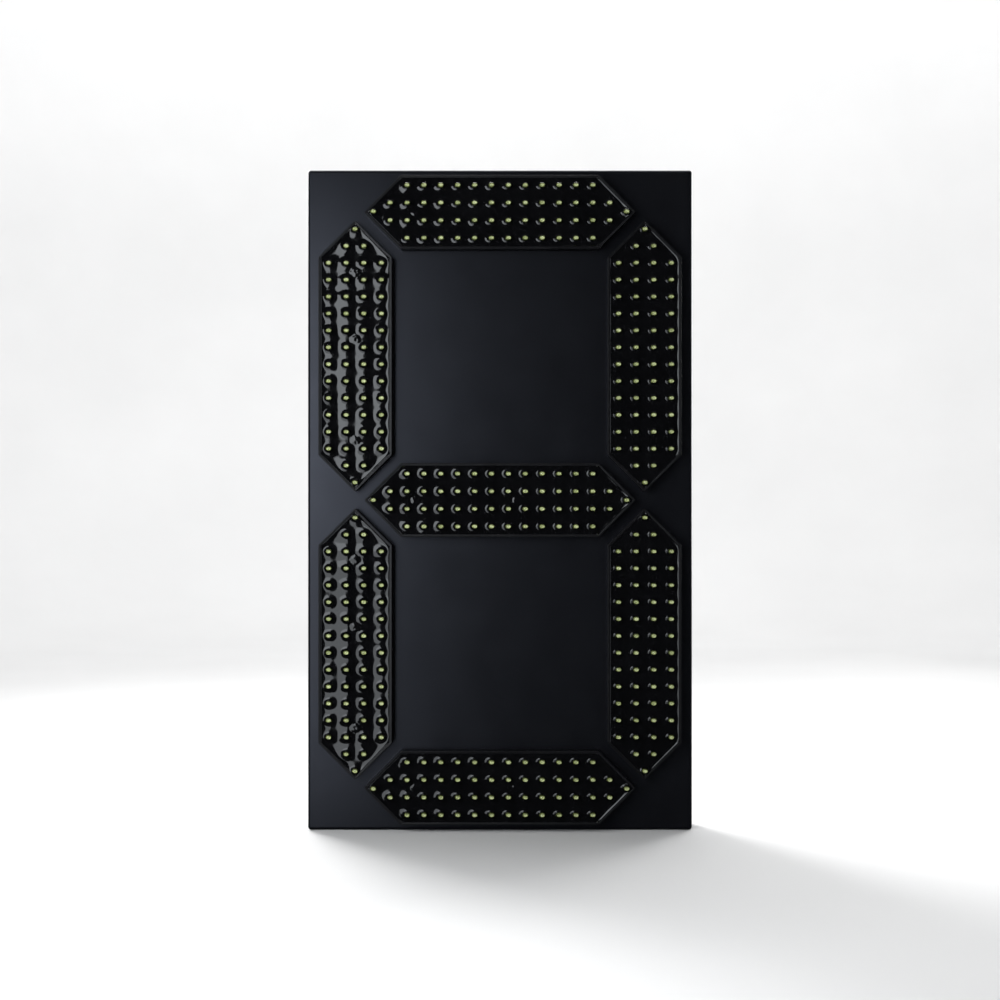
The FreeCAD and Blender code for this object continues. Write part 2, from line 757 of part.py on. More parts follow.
def make_tray_fasteners():
    """Button-head bolts through tray floor and panel, with washers and nuts behind."""
    head = rod(0, 0, 0, size.bolt_head, size.bolt_head_height)
    edge = [e for e in head.Edges if lies_at_depth(e, size.bolt_head_height)]
    button_round = 0.8 * size.bolt_head_height
    head = head.makeFillet(button_round, edge)
    drive = hex_prism(size.bolt_socket, size.bolt_head_height / 2, size.bolt_head_height / 2)
    bolt = head.cut(drive).fuse(rod(0, 0, -size.bolt_length, size.bolt_shank, size.bolt_length))
    group("tray_bolts", bolt.removeSplitter(), bolt_placements(size.panel_depth + size.tray_floor))

    panel_back = size.panel_depth - size.sheet_thickness
    washer = rod(0, 0, -size.washer_thickness, size.washer_width, size.washer_thickness)
    washer = washer.cut(
        rod(0, 0, -size.washer_thickness, size.bolt_clearance, size.washer_thickness)
    )
    group("tray_washers", washer, bolt_placements(panel_back))

    nut = chamfered_nut().cut(rod(0, 0, -size.nut_height, size.bolt_shank, size.nut_height))
    group("tray_nuts", nut, bolt_placements(panel_back - size.washer_thickness))


def chamfered_nut():
    """A hexagon nut without its hole, behind depth 0, its corners chamfered at the rear."""
    nut = hex_prism(size.nut_width, -size.nut_height, size.nut_height)
    corner = size.nut_width / math.sqrt(3)
    wide_end, narrow_end = 1.6 * corner, 0.48 * size.nut_width
    cone = Part.makeCone(
        wide_end,
        narrow_end,
        size.nut_height,
        Vector(0, 0, 0),
        Vector(0, 1, 0),
    )
    return nut.common(cone)


# ---------------------------------------------------------------- driver board


def driver_frame():
    """Centre height of the driver board, and the depths of its two faces."""
    front = size.panel_depth - size.sheet_thickness - size.driver_standoff
    return DRIVER_LEVEL * size.digit_height, front, front - size.board_thickness


def on_driver(x, z, turn=0.0):
    """A place on the driver board's rear face, measured from its centre."""
    centre, _, rear = driver_frame()
    return at(x, centre + z, rear, turn)


def pillar_placements(depth):
    """The driver board's four pillars."""
    centre, _, _ = driver_frame()
    return [
        at(i * size.driver_hole_width / 2, centre + j * size.driver_hole_height / 2, depth)
        for i in (-1, 1)
        for j in (-1, 1)
    ]


def make_driver_board():
    """The driver board, its four welded pillars and their screws."""
    _, front, rear = driver_frame()
    body = doc.addObject("PartDesign::Body", "driver_board")
    outline = sketch_on_front(body, "driver_outline")
    add_rectangle(outline, "Sizes.driver_width", "Sizes.driver_height")
    pad(body, outline, "Sizes.board_thickness")
    fillet(body, "Sizes.bend_radius", runs_along_y)
    holes = sketch_on_front(body, "driver_holes", "Sizes.board_thickness")
    for i in (-1, 1):
        for j in (-1, 1):
            add_circle(
                holes,
                "Sizes.machine_shank",
                f"{i} * Sizes.driver_hole_width / 2",
                f"{j} * Sizes.driver_hole_height / 2",
            )
    pocket(body, holes, "Sizes.board_thickness")
    rear_face = f"{PANEL_BACK} - Sizes.driver_standoff - Sizes.board_thickness"
    body.setExpression("Placement.Base.y", f"-({rear_face})")
    body.setExpression("Placement.Base.z", f"{DRIVER_LEVEL} * Sizes.digit_height")
    keep(body, "driver_board")

    pillar = hex_prism(size.hex_pillar, 0, size.driver_standoff)
    pillar = pillar.cut(rod(0, 0, 0, size.machine_shank, size.machine_grip))
    group("driver_pillars", pillar, pillar_placements(front))

    screw = pan_screw(
        size.machine_head,
        size.machine_head_height,
        size.machine_shank,
        size.machine_grip + size.board_thickness,
        size.machine_head_height / 2,
    )
    screw.rotate(Vector(), Vector(1, 0, 0), 180)  # its head faces the rear
    group("driver_screws", screw, pillar_placements(rear))


def connector_place(name):
    """A segment's connector on the driver board: its own -Z points out over the board's edge."""
    across, up, step = CONNECTORS[name]
    x = across * size.driver_width / 2
    z = up * size.driver_height / 2
    along = step * size.socket_spread
    turn = math.degrees(math.atan2(-across, -up))
    return on_driver(x if across else along, along if across else z, turn)


def rear_block(wide, tall, deep, low=0.0, start=0.0):
    """A block centred on X that stands to the rear from y = low and up from z = start."""
    return Part.makeBox(wide, tall, deep, Vector(-wide / 2, low, start))


def make_connectors():
    """Side-entry sockets on the driver board and the plugs on the segment leads."""
    wide, deep, tall = size.socket_width, size.socket_length, size.socket_height
    wall = size.socket_wall
    places = [connector_place(name) for name in CONNECTORS]
    cavity = rear_block(wide - 2 * wall, tall - 2 * wall, deep - wall, wall)
    latch = rear_block(size.latch_width, wall, deep / 2, tall - wall)
    shell = rear_block(wide, tall, deep)
    group("segment_sockets", shell.cut(cavity).cut(latch), places)

    reach = size.plug_reach
    grip = rear_block(wide - wall, tall - wall, reach, wall / 2, -reach)
    end = [e for e in grip.Edges if abs(e.BoundBox.ZMax + reach) < 1e-6]
    grip = grip.makeChamfer(wall / 2, end)
    group("segment_plugs", grip.fuse(cavity).fuse(latch).removeSplitter(), places)


def make_data_headers():
    """Two shrouded ten-way headers, data in and data out, opening to the rear."""
    long, wide, tall = size.header_length, size.header_width, size.header_height
    wall, floor, pitch = size.header_wall, size.header_floor, size.pin_pitch
    shroud = rear_block(long, tall, wide, 0, -wide / 2)
    well = rear_block(long - 2 * wall, tall - floor, wide - 2 * wall, floor, wall - wide / 2)
    key = rear_block(size.header_key, tall - floor, wall, floor, -wide / 2)
    shroud = shroud.cut(well).cut(key)
    thick = size.header_pin
    pin = rear_block(thick, tall - wall, thick, 0, -thick / 2)
    steps = [
        Placement(Vector(pitch * (column - 2), 0, pitch * (line - 0.5)), Rotation())
        for column in range(5)
        for line in range(2)
    ]
    for step in steps:
        shroud = shroud.cut(pin.transformed(step.toMatrix()))
    places = [on_driver(x, z) for x, z in ON_DRIVER["data_headers"]]
    group("data_headers", shroud, places)
    group("header_pins", pin, [place.multiply(step) for place in places for step in steps])


def make_power_terminal():
    """A two-way screw terminal for the supply, its wire entries facing down."""
    deep, tall = size.terminal_depth, size.terminal_height
    block = rear_block(size.terminal_length, tall, deep)
    front_top = [
        e for e in block.Edges
        if abs(e.BoundBox.YMin - tall) < 1e-6 and abs(e.BoundBox.ZMax) < 1e-6
    ]
    block = block.makeChamfer(size.terminal_slope, front_top)
    radius = size.clamp_screw / 2
    clearance, sunk = 0.2, 1.0  # round and over each screw
    entry_length, screw_place = 0.7 * deep, 0.55 * deep
    screws = []
    for side in (-1, 1):
        x = side * size.terminal_pitch / 2
        entry = rear_block(size.entry_width, size.entry_height, entry_length, size.entry_sill)
        block = block.cut(entry.translated(Vector(x, 0, 0)))
        top = Vector(x, tall, screw_place)
        inwards = Vector(0, -1, 0)
        well = Part.makeCylinder(radius + clearance, size.clamp_length + sunk, top, inwards)
        block = block.cut(well)
        head = top + inwards * sunk
        screw = Part.makeCylinder(radius, size.clamp_length, head, inwards)
        slot = rear_block(2 * radius, size.recess_width, size.recess_width, 0)
        slot.translate(head + Vector(0, -size.recess_width, -size.recess_width / 2))
        screws.append(screw.cut(slot))
    place = on_driver(*ON_DRIVER["power_terminal"])
    group("power_terminal", block, [place])
    group("terminal_screws", Part.makeCompound(screws), [place])


def chip_package(pins_a_side):
    """A dual in-line chip with bent pins, standing on a board's rear face."""
    lift, tall, wide, sheet = size.dip_lift, size.dip_height, size.dip_width, size.dip_sheet
    end_gap, notch_radius = 0.3, 1.0
    long = pins_a_side * size.pin_pitch - end_gap
    chip = rear_block(long, tall, wide, lift, -wide / 2)
    rim = [e for e in chip.Edges if abs(e.BoundBox.YMin - lift - tall) < 1e-6]
    chip = chip.makeChamfer(size.dip_bevel, rim)
    notch_top = Vector(-long / 2, lift + tall, 0)
    notch = Part.makeCylinder(notch_radius, notch_radius, notch_top, Vector(0, -1, 0))
    chip = chip.cut(notch)
    shoulder = lift + tall / 2
    reach = (size.dip_span - wide) / 2
    for column in range(pins_a_side):
        x = (column - (pins_a_side - 1) / 2) * size.pin_pitch
        for side in (-1, 1):
            arm = rear_block(size.dip_pin, sheet, reach, shoulder - sheet, wide / 2)
            leg = rear_block(size.dip_pin / 2, shoulder, sheet, 0, wide / 2 + reach - sheet)
            pin = arm.fuse(leg)
            if side < 0:
                pin = pin.mirror(Vector(), Vector(0, 0, 1))
            chip = chip.fuse(pin.translated(Vector(x, 0, 0)))
    return chip.removeSplitter()


def make_transistors():
    """One surface-mounted switching transistor a segment, and its gate resistor."""
    high, thick = size.case_height, size.case_thickness
    case = rear_block(size.case_width, thick, high, 0, -high / 2)
    rim = [e for e in case.Edges if abs(e.BoundBox.YMin - thick) < 1e-6]
    case = case.makeChamfer(size.dip_sheet, rim)
    device = case.fuse(
        rear_block(size.tab_width, size.tab_thickness, size.tab_length, 0, high / 2)
    )
    reach = size.case_pin_length
    for step in (-1, 0, 1):
        pin = rear_block(size.case_pin, size.tab_thickness / 2, reach, 0, -high / 2 - reach)
        device = device.fuse(pin.translated(Vector(step * size.case_pin_pitch, 0, 0)))
    steps = [(i - (len(SEGMENTS) - 1) / 2) * size.transistor_pitch for i in range(len(SEGMENTS))]
    places = [on_driver(x, TRANSISTOR_LEVEL) for x in steps]
    group("switching_transistors", device.removeSplitter(), places)

    long = size.chip_length
    chip = rear_block(size.chip_width, size.chip_height, long, 0, -long / 2)
    group("gate_resistors", chip, [on_driver(x, GATE_RESISTOR_LEVEL) for x in steps])


def make_components():
    """The chips, transistors and capacitors of the driver board."""
    register_pins, driver_pins = 8, 9  # a side
    group("shift_register", chip_package(register_pins), [on_driver(*ON_DRIVER["shift_register"])])
    group("output_driver", chip_package(driver_pins), [on_driver(*ON_DRIVER["output_driver"])])
    make_transistors()

    radius, tall, groove = size.can_width / 2, size.can_height, size.can_groove
    can = Part.makeCylinder(radius, tall, Vector(), Vector(0, 1, 0))
    can = can.makeFillet(groove, [e for e in can.Edges if abs(e.BoundBox.YMin - tall) < 1e-6])
    ring = Part.makeTorus(radius + groove / 3, groove, Vector(0, 3 * groove, 0), Vector(0, 1, 0))
    places = [on_driver(x, z) for x, z in ON_DRIVER["smoothing_capacitors"]]
    group("smoothing_capacitors", can.cut(ring), places)


# ---------------------------------------------------------------- leads


def lead_corners(name):
    """The corner points of a segment's lead, from its tray's board to its plug."""
    _, share_x, share_z = SEGMENTS[name]
    from_x, from_z = share_x * size.digit_width, share_z * size.digit_height
    start = size.panel_depth + size.tray_floor + size.pillar_height
    plug = connector_place(name).multVec(
        Vector(0, size.socket_height / 2, -size.plug_reach)
    )
    corners = [Vector(from_x, -start, from_z), Vector(from_x, plug.y, from_z)]
    corners += [Vector(x, plug.y, z) for x, z in LEAD_POINTS[name]]
    return corners + [plug]


def rounded_path(corners):
    """A wire of straight runs joined by tangent arcs, and the radii of the arcs.

    The first bend has its own radius; the others are as large as their runs allow."""
    share = 0.45
    edges, radii = [], []
    here = corners[0]
    for before, corner, after in zip(corners, corners[1:], corners[2:]):
        back, on = before - corner, after - corner
        turn = math.pi - back.getAngle(on)
        radius = share * min(back.Length, on.Length) / math.tan(turn / 2)
        if not radii:
            radius = size.lead_bend
        trim = radius * math.tan(turn / 2)
        back.normalize()
        on.normalize()
        enter, leave = corner + back * trim, corner + on * trim
        inwards = (back + on).normalize()
        middle = corner + inwards * (radius / math.cos(turn / 2) - radius)
        edges.append(Part.LineSegment(here, enter).toShape())
        edges.append(Part.Arc(enter, middle, leave).toShape())
        radii.append(radius)
        here = leave
    edges.append(Part.LineSegment(here, corners[-1]).toShape())
    return Part.Wire(edges), radii


def make_leads():
    """The seven leads, each from its tray to its plug on the driver board."""
    section = math.pi * (size.lead_width / 2) ** 2
    for name in SEGMENTS:
        corners = lead_corners(name)
        path, radii = rounded_path(corners)
        ring = Part.makeCircle(size.lead_width / 2, corners[0], corners[1] - corners[0])
        tube = path.makePipeShell([Part.Wire(ring)], True, True)
        allowed = 0.01
        if abs(tube.Volume / (section * path.Length) - 1) > allowed:
            raise RuntimeError(f"the lead of {name} has the wrong volume")
        print(name, "lead", round(path.Length, 1), "radii", [round(r, 1) for r in radii])
        feature = doc.addObject("Part::Feature", f"lead_{name}")
        feature.Shape = tube
        keep(feature, f"lead_{name}")


def make_bushes():
    """Rubber bushes that carry the leads through panel and tray floor."""
    flange = size.bush_flange_height
    sleeve = size.sheet_thickness + size.tray_floor
    bush = rod(0, 0, 0, size.bush_width, sleeve)
    rear = rod(0, 0, -flange, size.bush_flange, flange)
    edge = [e for e in rear.Edges if lies_at_depth(e, -flange)]
    flange_round = 0.4 * flange
    bush = bush.fuse(rear.makeFillet(flange_round, edge))
    bush = bush.cut(rod(0, 0, -flange, size.lead_width, flange + sleeve)).removeSplitter()
    panel_back = size.panel_depth - size.sheet_thickness
    group("lead_bushes", bush, [segment_place(name, panel_back) for name in SEGMENTS])


def saddle_shape(lead_depth):
    """A stand-off saddle: a foot stuck to the panel, a post, and a split ring along Z."""
    panel_back = size.panel_depth - size.sheet_thickness
    foot_top = panel_back - size.saddle_foot
    long = size.saddle_length
    foot = box(0, 0, foot_top, size.saddle_base, size.saddle_base, size.saddle_foot)
    foot = foot.makeFillet(size.saddle_foot, [e for e in foot.Edges if runs_along_y(e)])
    post = box(0, 0, lead_depth, size.saddle_post, long, foot_top - lead_depth)
    low = Vector(0, -lead_depth, -long / 2)
    ring = Part.makeCylinder(size.saddle_ring / 2, long, low, Vector(0, 0, 1))
    bore = Part.makeCylinder(size.saddle_bore / 2, long, low, Vector(0, 0, 1))
    mouth = Part.makeBox(size.saddle_mouth, size.saddle_ring, long)
    mouth.translate(low - Vector(size.saddle_mouth / 2, 0, 0))
    return foot.fuse(post).fuse(ring).cut(bore).cut(mouth).removeSplitter()


def make_saddles():
    """The saddles that hold the long leads, each turned to follow its lead."""
    placements = []
    for name, piece, share in SADDLES:
        path, _ = rounded_path(lead_corners(name))
        edge = path.Edges[piece]
        first, last = edge.ParameterRange
        spot = first + (last - first) * share
        middle, way = edge.valueAt(spot), edge.tangentAt(spot)
        placements.append(at(middle.x, middle.z, 0, math.degrees(math.atan2(way.x, way.z))))
    lead_depth = -lead_corners("top")[1].y
    group("lead_saddles", saddle_shape(lead_depth), placements)


def make_earth_stud():
    """A weld stud for the earth connection, with its nut."""
    panel_back = size.panel_depth - size.sheet_thickness
    x, z = EARTH_STUD
    flange_height, nut_gap = 0.8, 4.0
    stud = rod(0, 0, -size.earth_length, size.bolt_shank, size.earth_length)
    tip = [e for e in stud.Edges if lies_at_depth(e, -size.earth_length)]
    flange = rod(0, 0, -flange_height, size.bolt_shank + 2 * flange_height, flange_height)
    stud = stud.makeChamfer(flange_height / 2, tip).fuse(flange).removeSplitter()
    group("earth_stud", stud, [at(x, z, panel_back)])
    nut = chamfered_nut().cut(rod(0, 0, -size.nut_height, size.bolt_shank, size.nut_height))
    group("earth_nut", nut, [at(x, z, panel_back - nut_gap)])


# ---------------------------------------------------------------- assembly


def make_segments():
    """Trays, LEDs, boards and potting of the seven segments."""
    board_rear = size.panel_depth + size.tray_floor + size.pillar_height
    board_front = board_rear + size.board_thickness
    screws = make_board_screws(board_front)
    for name in SEGMENTS:
        make_tray(name)
        leds = make_leds(name, board_front)
        make_led_board(name, leds, screws)
        make_potting(name, leds, screws)
    make_resistors(board_rear)


def write_parts():
    """Checks every object and every sub-part, then writes the STEP files."""
    doc.recompute()
    for thing in doc.Objects:
        if "Invalid" in thing.State or "Error" in thing.State:
            raise RuntimeError(f"{thing.Name} failed: {thing.State}")
    for part in parts:
        if part.Shape.isNull() or not part.Shape.isValid():
            raise RuntimeError(f"{part.Label} has no valid shape")
    os.makedirs("parts", exist_ok=True)
    for old in os.listdir("parts"):
        os.remove(os.path.join("parts", old))
    for part in parts:
        part.Shape.exportStep(os.path.join("parts", f"{part.Label}.step"))
    print(len(parts), "sub-parts,", sum(len(p.Shape.Solids) for p in parts), "solids")


make_panel()
make_segments()
make_tray_fasteners()
make_driver_board()
make_connectors()
make_data_headers()
make_power_terminal()
make_components()
make_leads()
make_bushes()
make_saddles()
make_earth_stud()
write_parts()
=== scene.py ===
import math

import bmesh
import bpy
import numpy as np
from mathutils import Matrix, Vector


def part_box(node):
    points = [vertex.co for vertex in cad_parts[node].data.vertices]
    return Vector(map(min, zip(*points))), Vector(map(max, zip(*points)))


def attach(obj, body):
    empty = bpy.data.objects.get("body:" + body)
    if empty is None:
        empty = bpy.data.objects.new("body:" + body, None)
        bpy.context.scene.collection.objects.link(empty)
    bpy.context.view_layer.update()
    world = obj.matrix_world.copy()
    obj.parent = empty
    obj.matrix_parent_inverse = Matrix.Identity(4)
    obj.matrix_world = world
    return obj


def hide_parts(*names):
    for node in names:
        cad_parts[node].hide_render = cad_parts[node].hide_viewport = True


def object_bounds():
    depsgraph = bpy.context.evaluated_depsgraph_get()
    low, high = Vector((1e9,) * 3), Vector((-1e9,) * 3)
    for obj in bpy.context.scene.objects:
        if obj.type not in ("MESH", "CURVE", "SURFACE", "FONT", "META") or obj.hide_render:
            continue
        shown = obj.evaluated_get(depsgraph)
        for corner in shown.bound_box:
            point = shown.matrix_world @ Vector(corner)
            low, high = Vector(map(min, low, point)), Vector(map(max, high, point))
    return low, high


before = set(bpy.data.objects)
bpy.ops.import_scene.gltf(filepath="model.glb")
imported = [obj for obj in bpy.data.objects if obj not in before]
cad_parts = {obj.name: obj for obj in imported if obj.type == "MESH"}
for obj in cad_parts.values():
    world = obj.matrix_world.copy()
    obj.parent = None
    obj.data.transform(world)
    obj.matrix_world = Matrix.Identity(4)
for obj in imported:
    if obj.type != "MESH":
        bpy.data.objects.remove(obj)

cad_low, cad_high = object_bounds()

# ---------------------------------------------------------------- sizes, in metres

MM = 0.001
SEGMENTS = {  # name: does it stand upright
    "top": False,
    "upper_right": True,
    "lower_right": True,
    "bottom": False,
    "lower_left": True,
    "upper_left": True,
    "middle": False,
}
LED_PITCH = 12 * MM
ROW_PITCH = 12.5 * MM
LEDS_IN_ROWS = (12, 14, 14, 12)
TIP_STEPS = 7.5  # a tip LED's distance from the segment's centre, in LED pitches
SCREW_STEPS = (-5, 1, 5)  # board screws, in LED pitches

LENS_HALF_WIDTH = 2.6 * MM
LENS_HALF_BREADTH = 1.9 * MM
LENS_FLANGE = 0.3 * MM
LENS_SIDES = 26
LED_HEIGHT = 7 * MM  # flange's underside to the lens's top
# Shifting the cup moves the core's painted highlight towards the lower right, where light from the
# upper left would fall.
CUP_SHIFT = np.array([0.24, 0.0, -0.18]) * MM  # the cup sits a little off the lens's axis
FLANGE_HEIGHT = 1 * MM
DOME_HEIGHT = 1.9 * MM
LENS_TAPER = 0.985  # the lens's width at its dome, as a share of its width at the flange
# The collar's dark tone is painted shade.
COLLAR_HEIGHT = 3.0 * MM  # the core's dark lower part, from the flange's underside
CUP_BELOW_TIP = 1.75 * MM
LEG = 0.5 * MM
LEG_PITCH = 2.54 * MM
LEG_STUB = 1.1 * MM  # what stands out behind the board

GLOW = 0.0  # how brightly the LEDs shine; 0 is off

CAMERA_DISTANCE = 1.10  # from the panel's front face
VIEW_WIDTH = 0.718  # what the picture spans at the panel's front face

root = "root"


# ---------------------------------------------------------------- mesh helpers


def make_piece(name, points, faces, *materials, chosen=None, smooth=True):
    """A mesh object that rides on the root body."""
    mesh = bpy.data.meshes.new(name)
    mesh.from_pydata(np.asarray(points, float).tolist(), [], faces)
    for item in materials:
        mesh.materials.append(item)
    if chosen is not None:
        mesh.polygons.foreach_set("material_index", chosen)
    mesh.polygons.foreach_set("use_smooth", [smooth] * len(mesh.polygons))
    mesh.update()
    thing = bpy.data.objects.new(name, mesh)
    bpy.context.scene.collection.objects.link(thing)
    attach(thing, root)
    return thing


def tube_faces(rings, sides, closed_ends=True, first=0):
    """Quads between consecutive rings of points, with end caps."""
    faces = []
    for ring in range(rings - 1):
        low, high = first + ring * sides, first + (ring + 1) * sides
        for side in range(sides):
            after = (side + 1) % sides
            faces.append((low + side, low + after, high + after, high + side))
    if closed_ends:
        faces.append(tuple(first + side for side in reversed(range(sides))))
        faces.append(tuple(first + (rings - 1) * sides + side for side in range(sides)))
    return faces


def middle_of(node):
    low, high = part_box(node)
    return (low + high) / 2


def to_row_frame(name, along, height, across):
    """Points of a segment's own frame, as arrays, in the row frame. Height is to the front."""
    middle = middle_of(f"tray_{name}")
    along, height, across = np.broadcast_arrays(along, height, across)
    if SEGMENTS[name]:
        x, z = middle.x - across, middle.z + along
    else:
        x, z = middle.x + along, middle.z + across
    return np.stack([x, -height, z], axis=-1)


def led_places():
    """The 54 LED positions of a segment, along and across it."""
    places = []
    for row, count in enumerate(LEDS_IN_ROWS):
        across = (row - (len(LEDS_IN_ROWS) - 1) / 2) * ROW_PITCH
        places += [((step - (count - 1) / 2) * LED_PITCH, across) for step in range(count)]
    return places + [(side * TIP_STEPS * LED_PITCH, 0.0) for side in (-1, 1)]


# ---------------------------------------------------------------- materials


def new_material(name):
    """A node material, its tree and its Principled shader."""
    item = bpy.data.materials.new(name)
    item.use_nodes = True
    return item, item.node_tree, item.node_tree.nodes["Principled BSDF"]


def add_node(tree, kind, inputs=None, **settings):
    """A node with its settings and input values."""
    node = tree.nodes.new(kind)
    for key, value in settings.items():
        setattr(node, key, value)
    for key, value in (inputs or {}).items():
        node.inputs[key].default_value = value
    return node


def place_in_row_frame(tree):
    """The socket that gives the place on the object, in metres."""
    return add_node(tree, "ShaderNodeTexCoord").outputs["Object"]


def noise(tree, scale, detail=3.0, roughness=0.55, where=None):
    """A noise texture over the object. Scale is in features per metre."""
    node = add_node(
        tree,
        "ShaderNodeTexNoise",
        {"Scale": scale, "Detail": detail, "Roughness": roughness},
    )
    tree.links.new(where or place_in_row_frame(tree), node.inputs["Vector"])
    return node.outputs["Fac"]


def spread(tree, socket, low, high, from_low=0.3, from_high=0.7):
    """Maps a value from one range to another, clamped."""
    node = add_node(
        tree,
        "ShaderNodeMapRange",
        {"From Min": from_low, "From Max": from_high, "To Min": low, "To Max": high},
    )
    tree.links.new(socket, node.inputs["Value"])
    return node.outputs["Result"]


def blend_colours(tree, share, first, second):
    """Mixes two colours, or colour sockets, by a value."""
    node = add_node(tree, "ShaderNodeMix", data_type="RGBA")
    tree.links.new(share, node.inputs["Factor"])
    for socket, colour in ((node.inputs[6], first), (node.inputs[7], second)):
        if isinstance(colour, tuple):
            socket.default_value = (*colour, 1.0)
        else:
            tree.links.new(colour, socket)
    return node.outputs[2]


def bump(tree, shader, height, strength, distance):
    """Adds a bump to a shader."""
    node = add_node(tree, "ShaderNodeBump", {"Strength": strength, "Distance": distance})
    tree.links.new(height, node.inputs["Height"])
    tree.links.new(node.outputs["Normal"], shader.inputs["Normal"])


def surface(
    name, dark, light, rough=(0.4, 0.5), metallic=0.0, patches=60.0, grain=1500.0,
    grain_depth=0.00004, grain_strength=0.3, specular=0.5,
):
    """A two-tone surface with patchy colour and roughness and a fine grain."""
    item, tree, shader = new_material(name)
    shader.inputs["Metallic"].default_value = metallic
    shader.inputs["Specular IOR Level"].default_value = specular
    patch = noise(tree, patches, 5.0)
    tree.links.new(
        blend_colours(tree, spread(tree, patch, 0.0, 1.0), dark, light),
        shader.inputs["Base Color"],
    )
    fine = noise(tree, patches * 6, 4.0)
    tree.links.new(spread(tree, fine, *rough), shader.inputs["Roughness"])
    bump(tree, shader, noise(tree, grain, 2.0), grain_strength, grain_depth)
    return item


def banded(name, axis, node, half, inner, outer):
    """Plastic within a distance of a node's middle along an axis, and metal beyond it.

    The colours are (dark, light) pairs; the plastic's roughness is higher than the metal's."""
    item, tree, shader = new_material(name)
    split = add_node(tree, "ShaderNodeSeparateXYZ")
    tree.links.new(place_in_row_frame(tree), split.inputs["Vector"])
    away = add_node(tree, "ShaderNodeMath", {1: middle_of(node)["XYZ".index(axis)]},
                    operation="SUBTRACT")
    tree.links.new(split.outputs[axis], away.inputs[0])
    size = add_node(tree, "ShaderNodeMath", operation="ABSOLUTE")
    tree.links.new(away.outputs["Value"], size.inputs[0])
    beyond = add_node(tree, "ShaderNodeMath", {1: half}, operation="GREATER_THAN")
    tree.links.new(size.outputs["Value"], beyond.inputs[0])
    share = spread(tree, noise(tree, 200.0, 4.0), 0.0, 1.0)
    tree.links.new(
        blend_colours(
            tree, beyond.outputs["Value"],
            blend_colours(tree, share, *inner), blend_colours(tree, share, *outer),
        ),
        shader.inputs["Base Color"],
    )
    tree.links.new(beyond.outputs["Value"], shader.inputs["Metallic"])
    tree.links.new(
        spread(tree, beyond.outputs["Value"], 0.55, 0.30, 0.0, 1.0), shader.inputs["Roughness"]
    )
    return item


def paint_material():
    """Satin black powder coat: a faint orange peel and a little dust."""
    item, tree, shader = new_material("satin_black_paint")
    patch = noise(tree, 18.0, 4.0)
    base = blend_colours(
        tree, spread(tree, patch, 0.0, 1.0), (0.0036, 0.0037, 0.0048), (0.0052, 0.0054, 0.0068)
    )
    dust = noise(tree, 900.0, 1.0)
    speck = spread(tree, dust, 0.0, 0.35, 0.66, 0.82)
    tree.links.new(
        blend_colours(tree, speck, base, (0.016, 0.017, 0.020)), shader.inputs["Base Color"]
    )
    tree.links.new(
        spread(tree, noise(tree, 40.0, 5.0), 0.28, 0.33), shader.inputs["Roughness"]
    )
    shader.inputs["Specular Tint"].default_value = (0.80, 0.84, 1.0, 1.0)
    bump(tree, shader, noise(tree, 1100.0, 2.0), 0.25, 0.00003)
    return item


def potting_material():
    """Glossy black resin."""
    item, tree, shader = new_material("potting_resin")
    tree.links.new(
        blend_colours(
            tree, spread(tree, noise(tree, 45.0, 4.0), 0.0, 1.0),
            (0.0018, 0.0018, 0.0022), (0.0032, 0.0032, 0.0038),
        ),
        shader.inputs["Base Color"],
    )
    tree.links.new(
        spread(tree, noise(tree, 130.0, 5.0), 0.03, 0.09), shader.inputs["Roughness"]
    )
    bump(tree, shader, noise(tree, 300.0, 3.0), 0.12, 0.00006)
    return item


def lens_material():
    """Clear epoxy: mostly see-through, with a mirror-like skin, stronger at its edges."""
    item, tree, shader = new_material("led_clear_epoxy")
    tree.nodes.remove(shader)
    out = tree.nodes["Material Output"]
    clear = add_node(tree, "ShaderNodeBsdfTransparent", {"Color": (0.80, 0.84, 0.70, 1.0)})
    gloss = add_node(tree, "ShaderNodeBsdfGlossy", {"Roughness": 0.06})
    gloss.inputs["Color"].default_value = (1.0, 1.0, 1.0, 1.0)
    edge = add_node(tree, "ShaderNodeFresnel", {"IOR": 1.5})
    mixed = add_node(tree, "ShaderNodeMixShader")
    tree.links.new(edge.outputs["Fac"], mixed.inputs["Fac"])
    tree.links.new(clear.outputs["BSDF"], mixed.inputs[1])
    tree.links.new(gloss.outputs["BSDF"], mixed.inputs[2])
    tree.links.new(mixed.outputs["Shader"], out.inputs["Surface"])
    return item


def core_material(name, dark, light):
    """Milky epoxy between two tones, as it shows through the lens; each LED's core takes four
    copies of it, darker and lighter, as painted shade and painted light.
    """
    item, tree, shader = new_material(name)
    spots = noise(tree, 420.0, 2.0)  # within an LED
    batch = spread(tree, noise(tree, 75.0, 0.0), 0.62, 1.0)  # from one LED to the next
    both = add_node(tree, "ShaderNodeMath", operation="MULTIPLY")
    tree.links.new(spread(tree, spots, 0.35, 1.0), both.inputs[0])
    tree.links.new(batch, both.inputs[1])
    tree.links.new(
        blend_colours(tree, both.outputs["Value"], dark, light), shader.inputs["Base Color"]
    )
    shader.inputs["Roughness"].default_value = 0.5
    shader.inputs["Emission Color"].default_value = (0.02, 1.0, 0.22, 1.0)
    shader.inputs["Emission Strength"].default_value = GLOW
    return item


# ---------------------------------------------------------------- potting


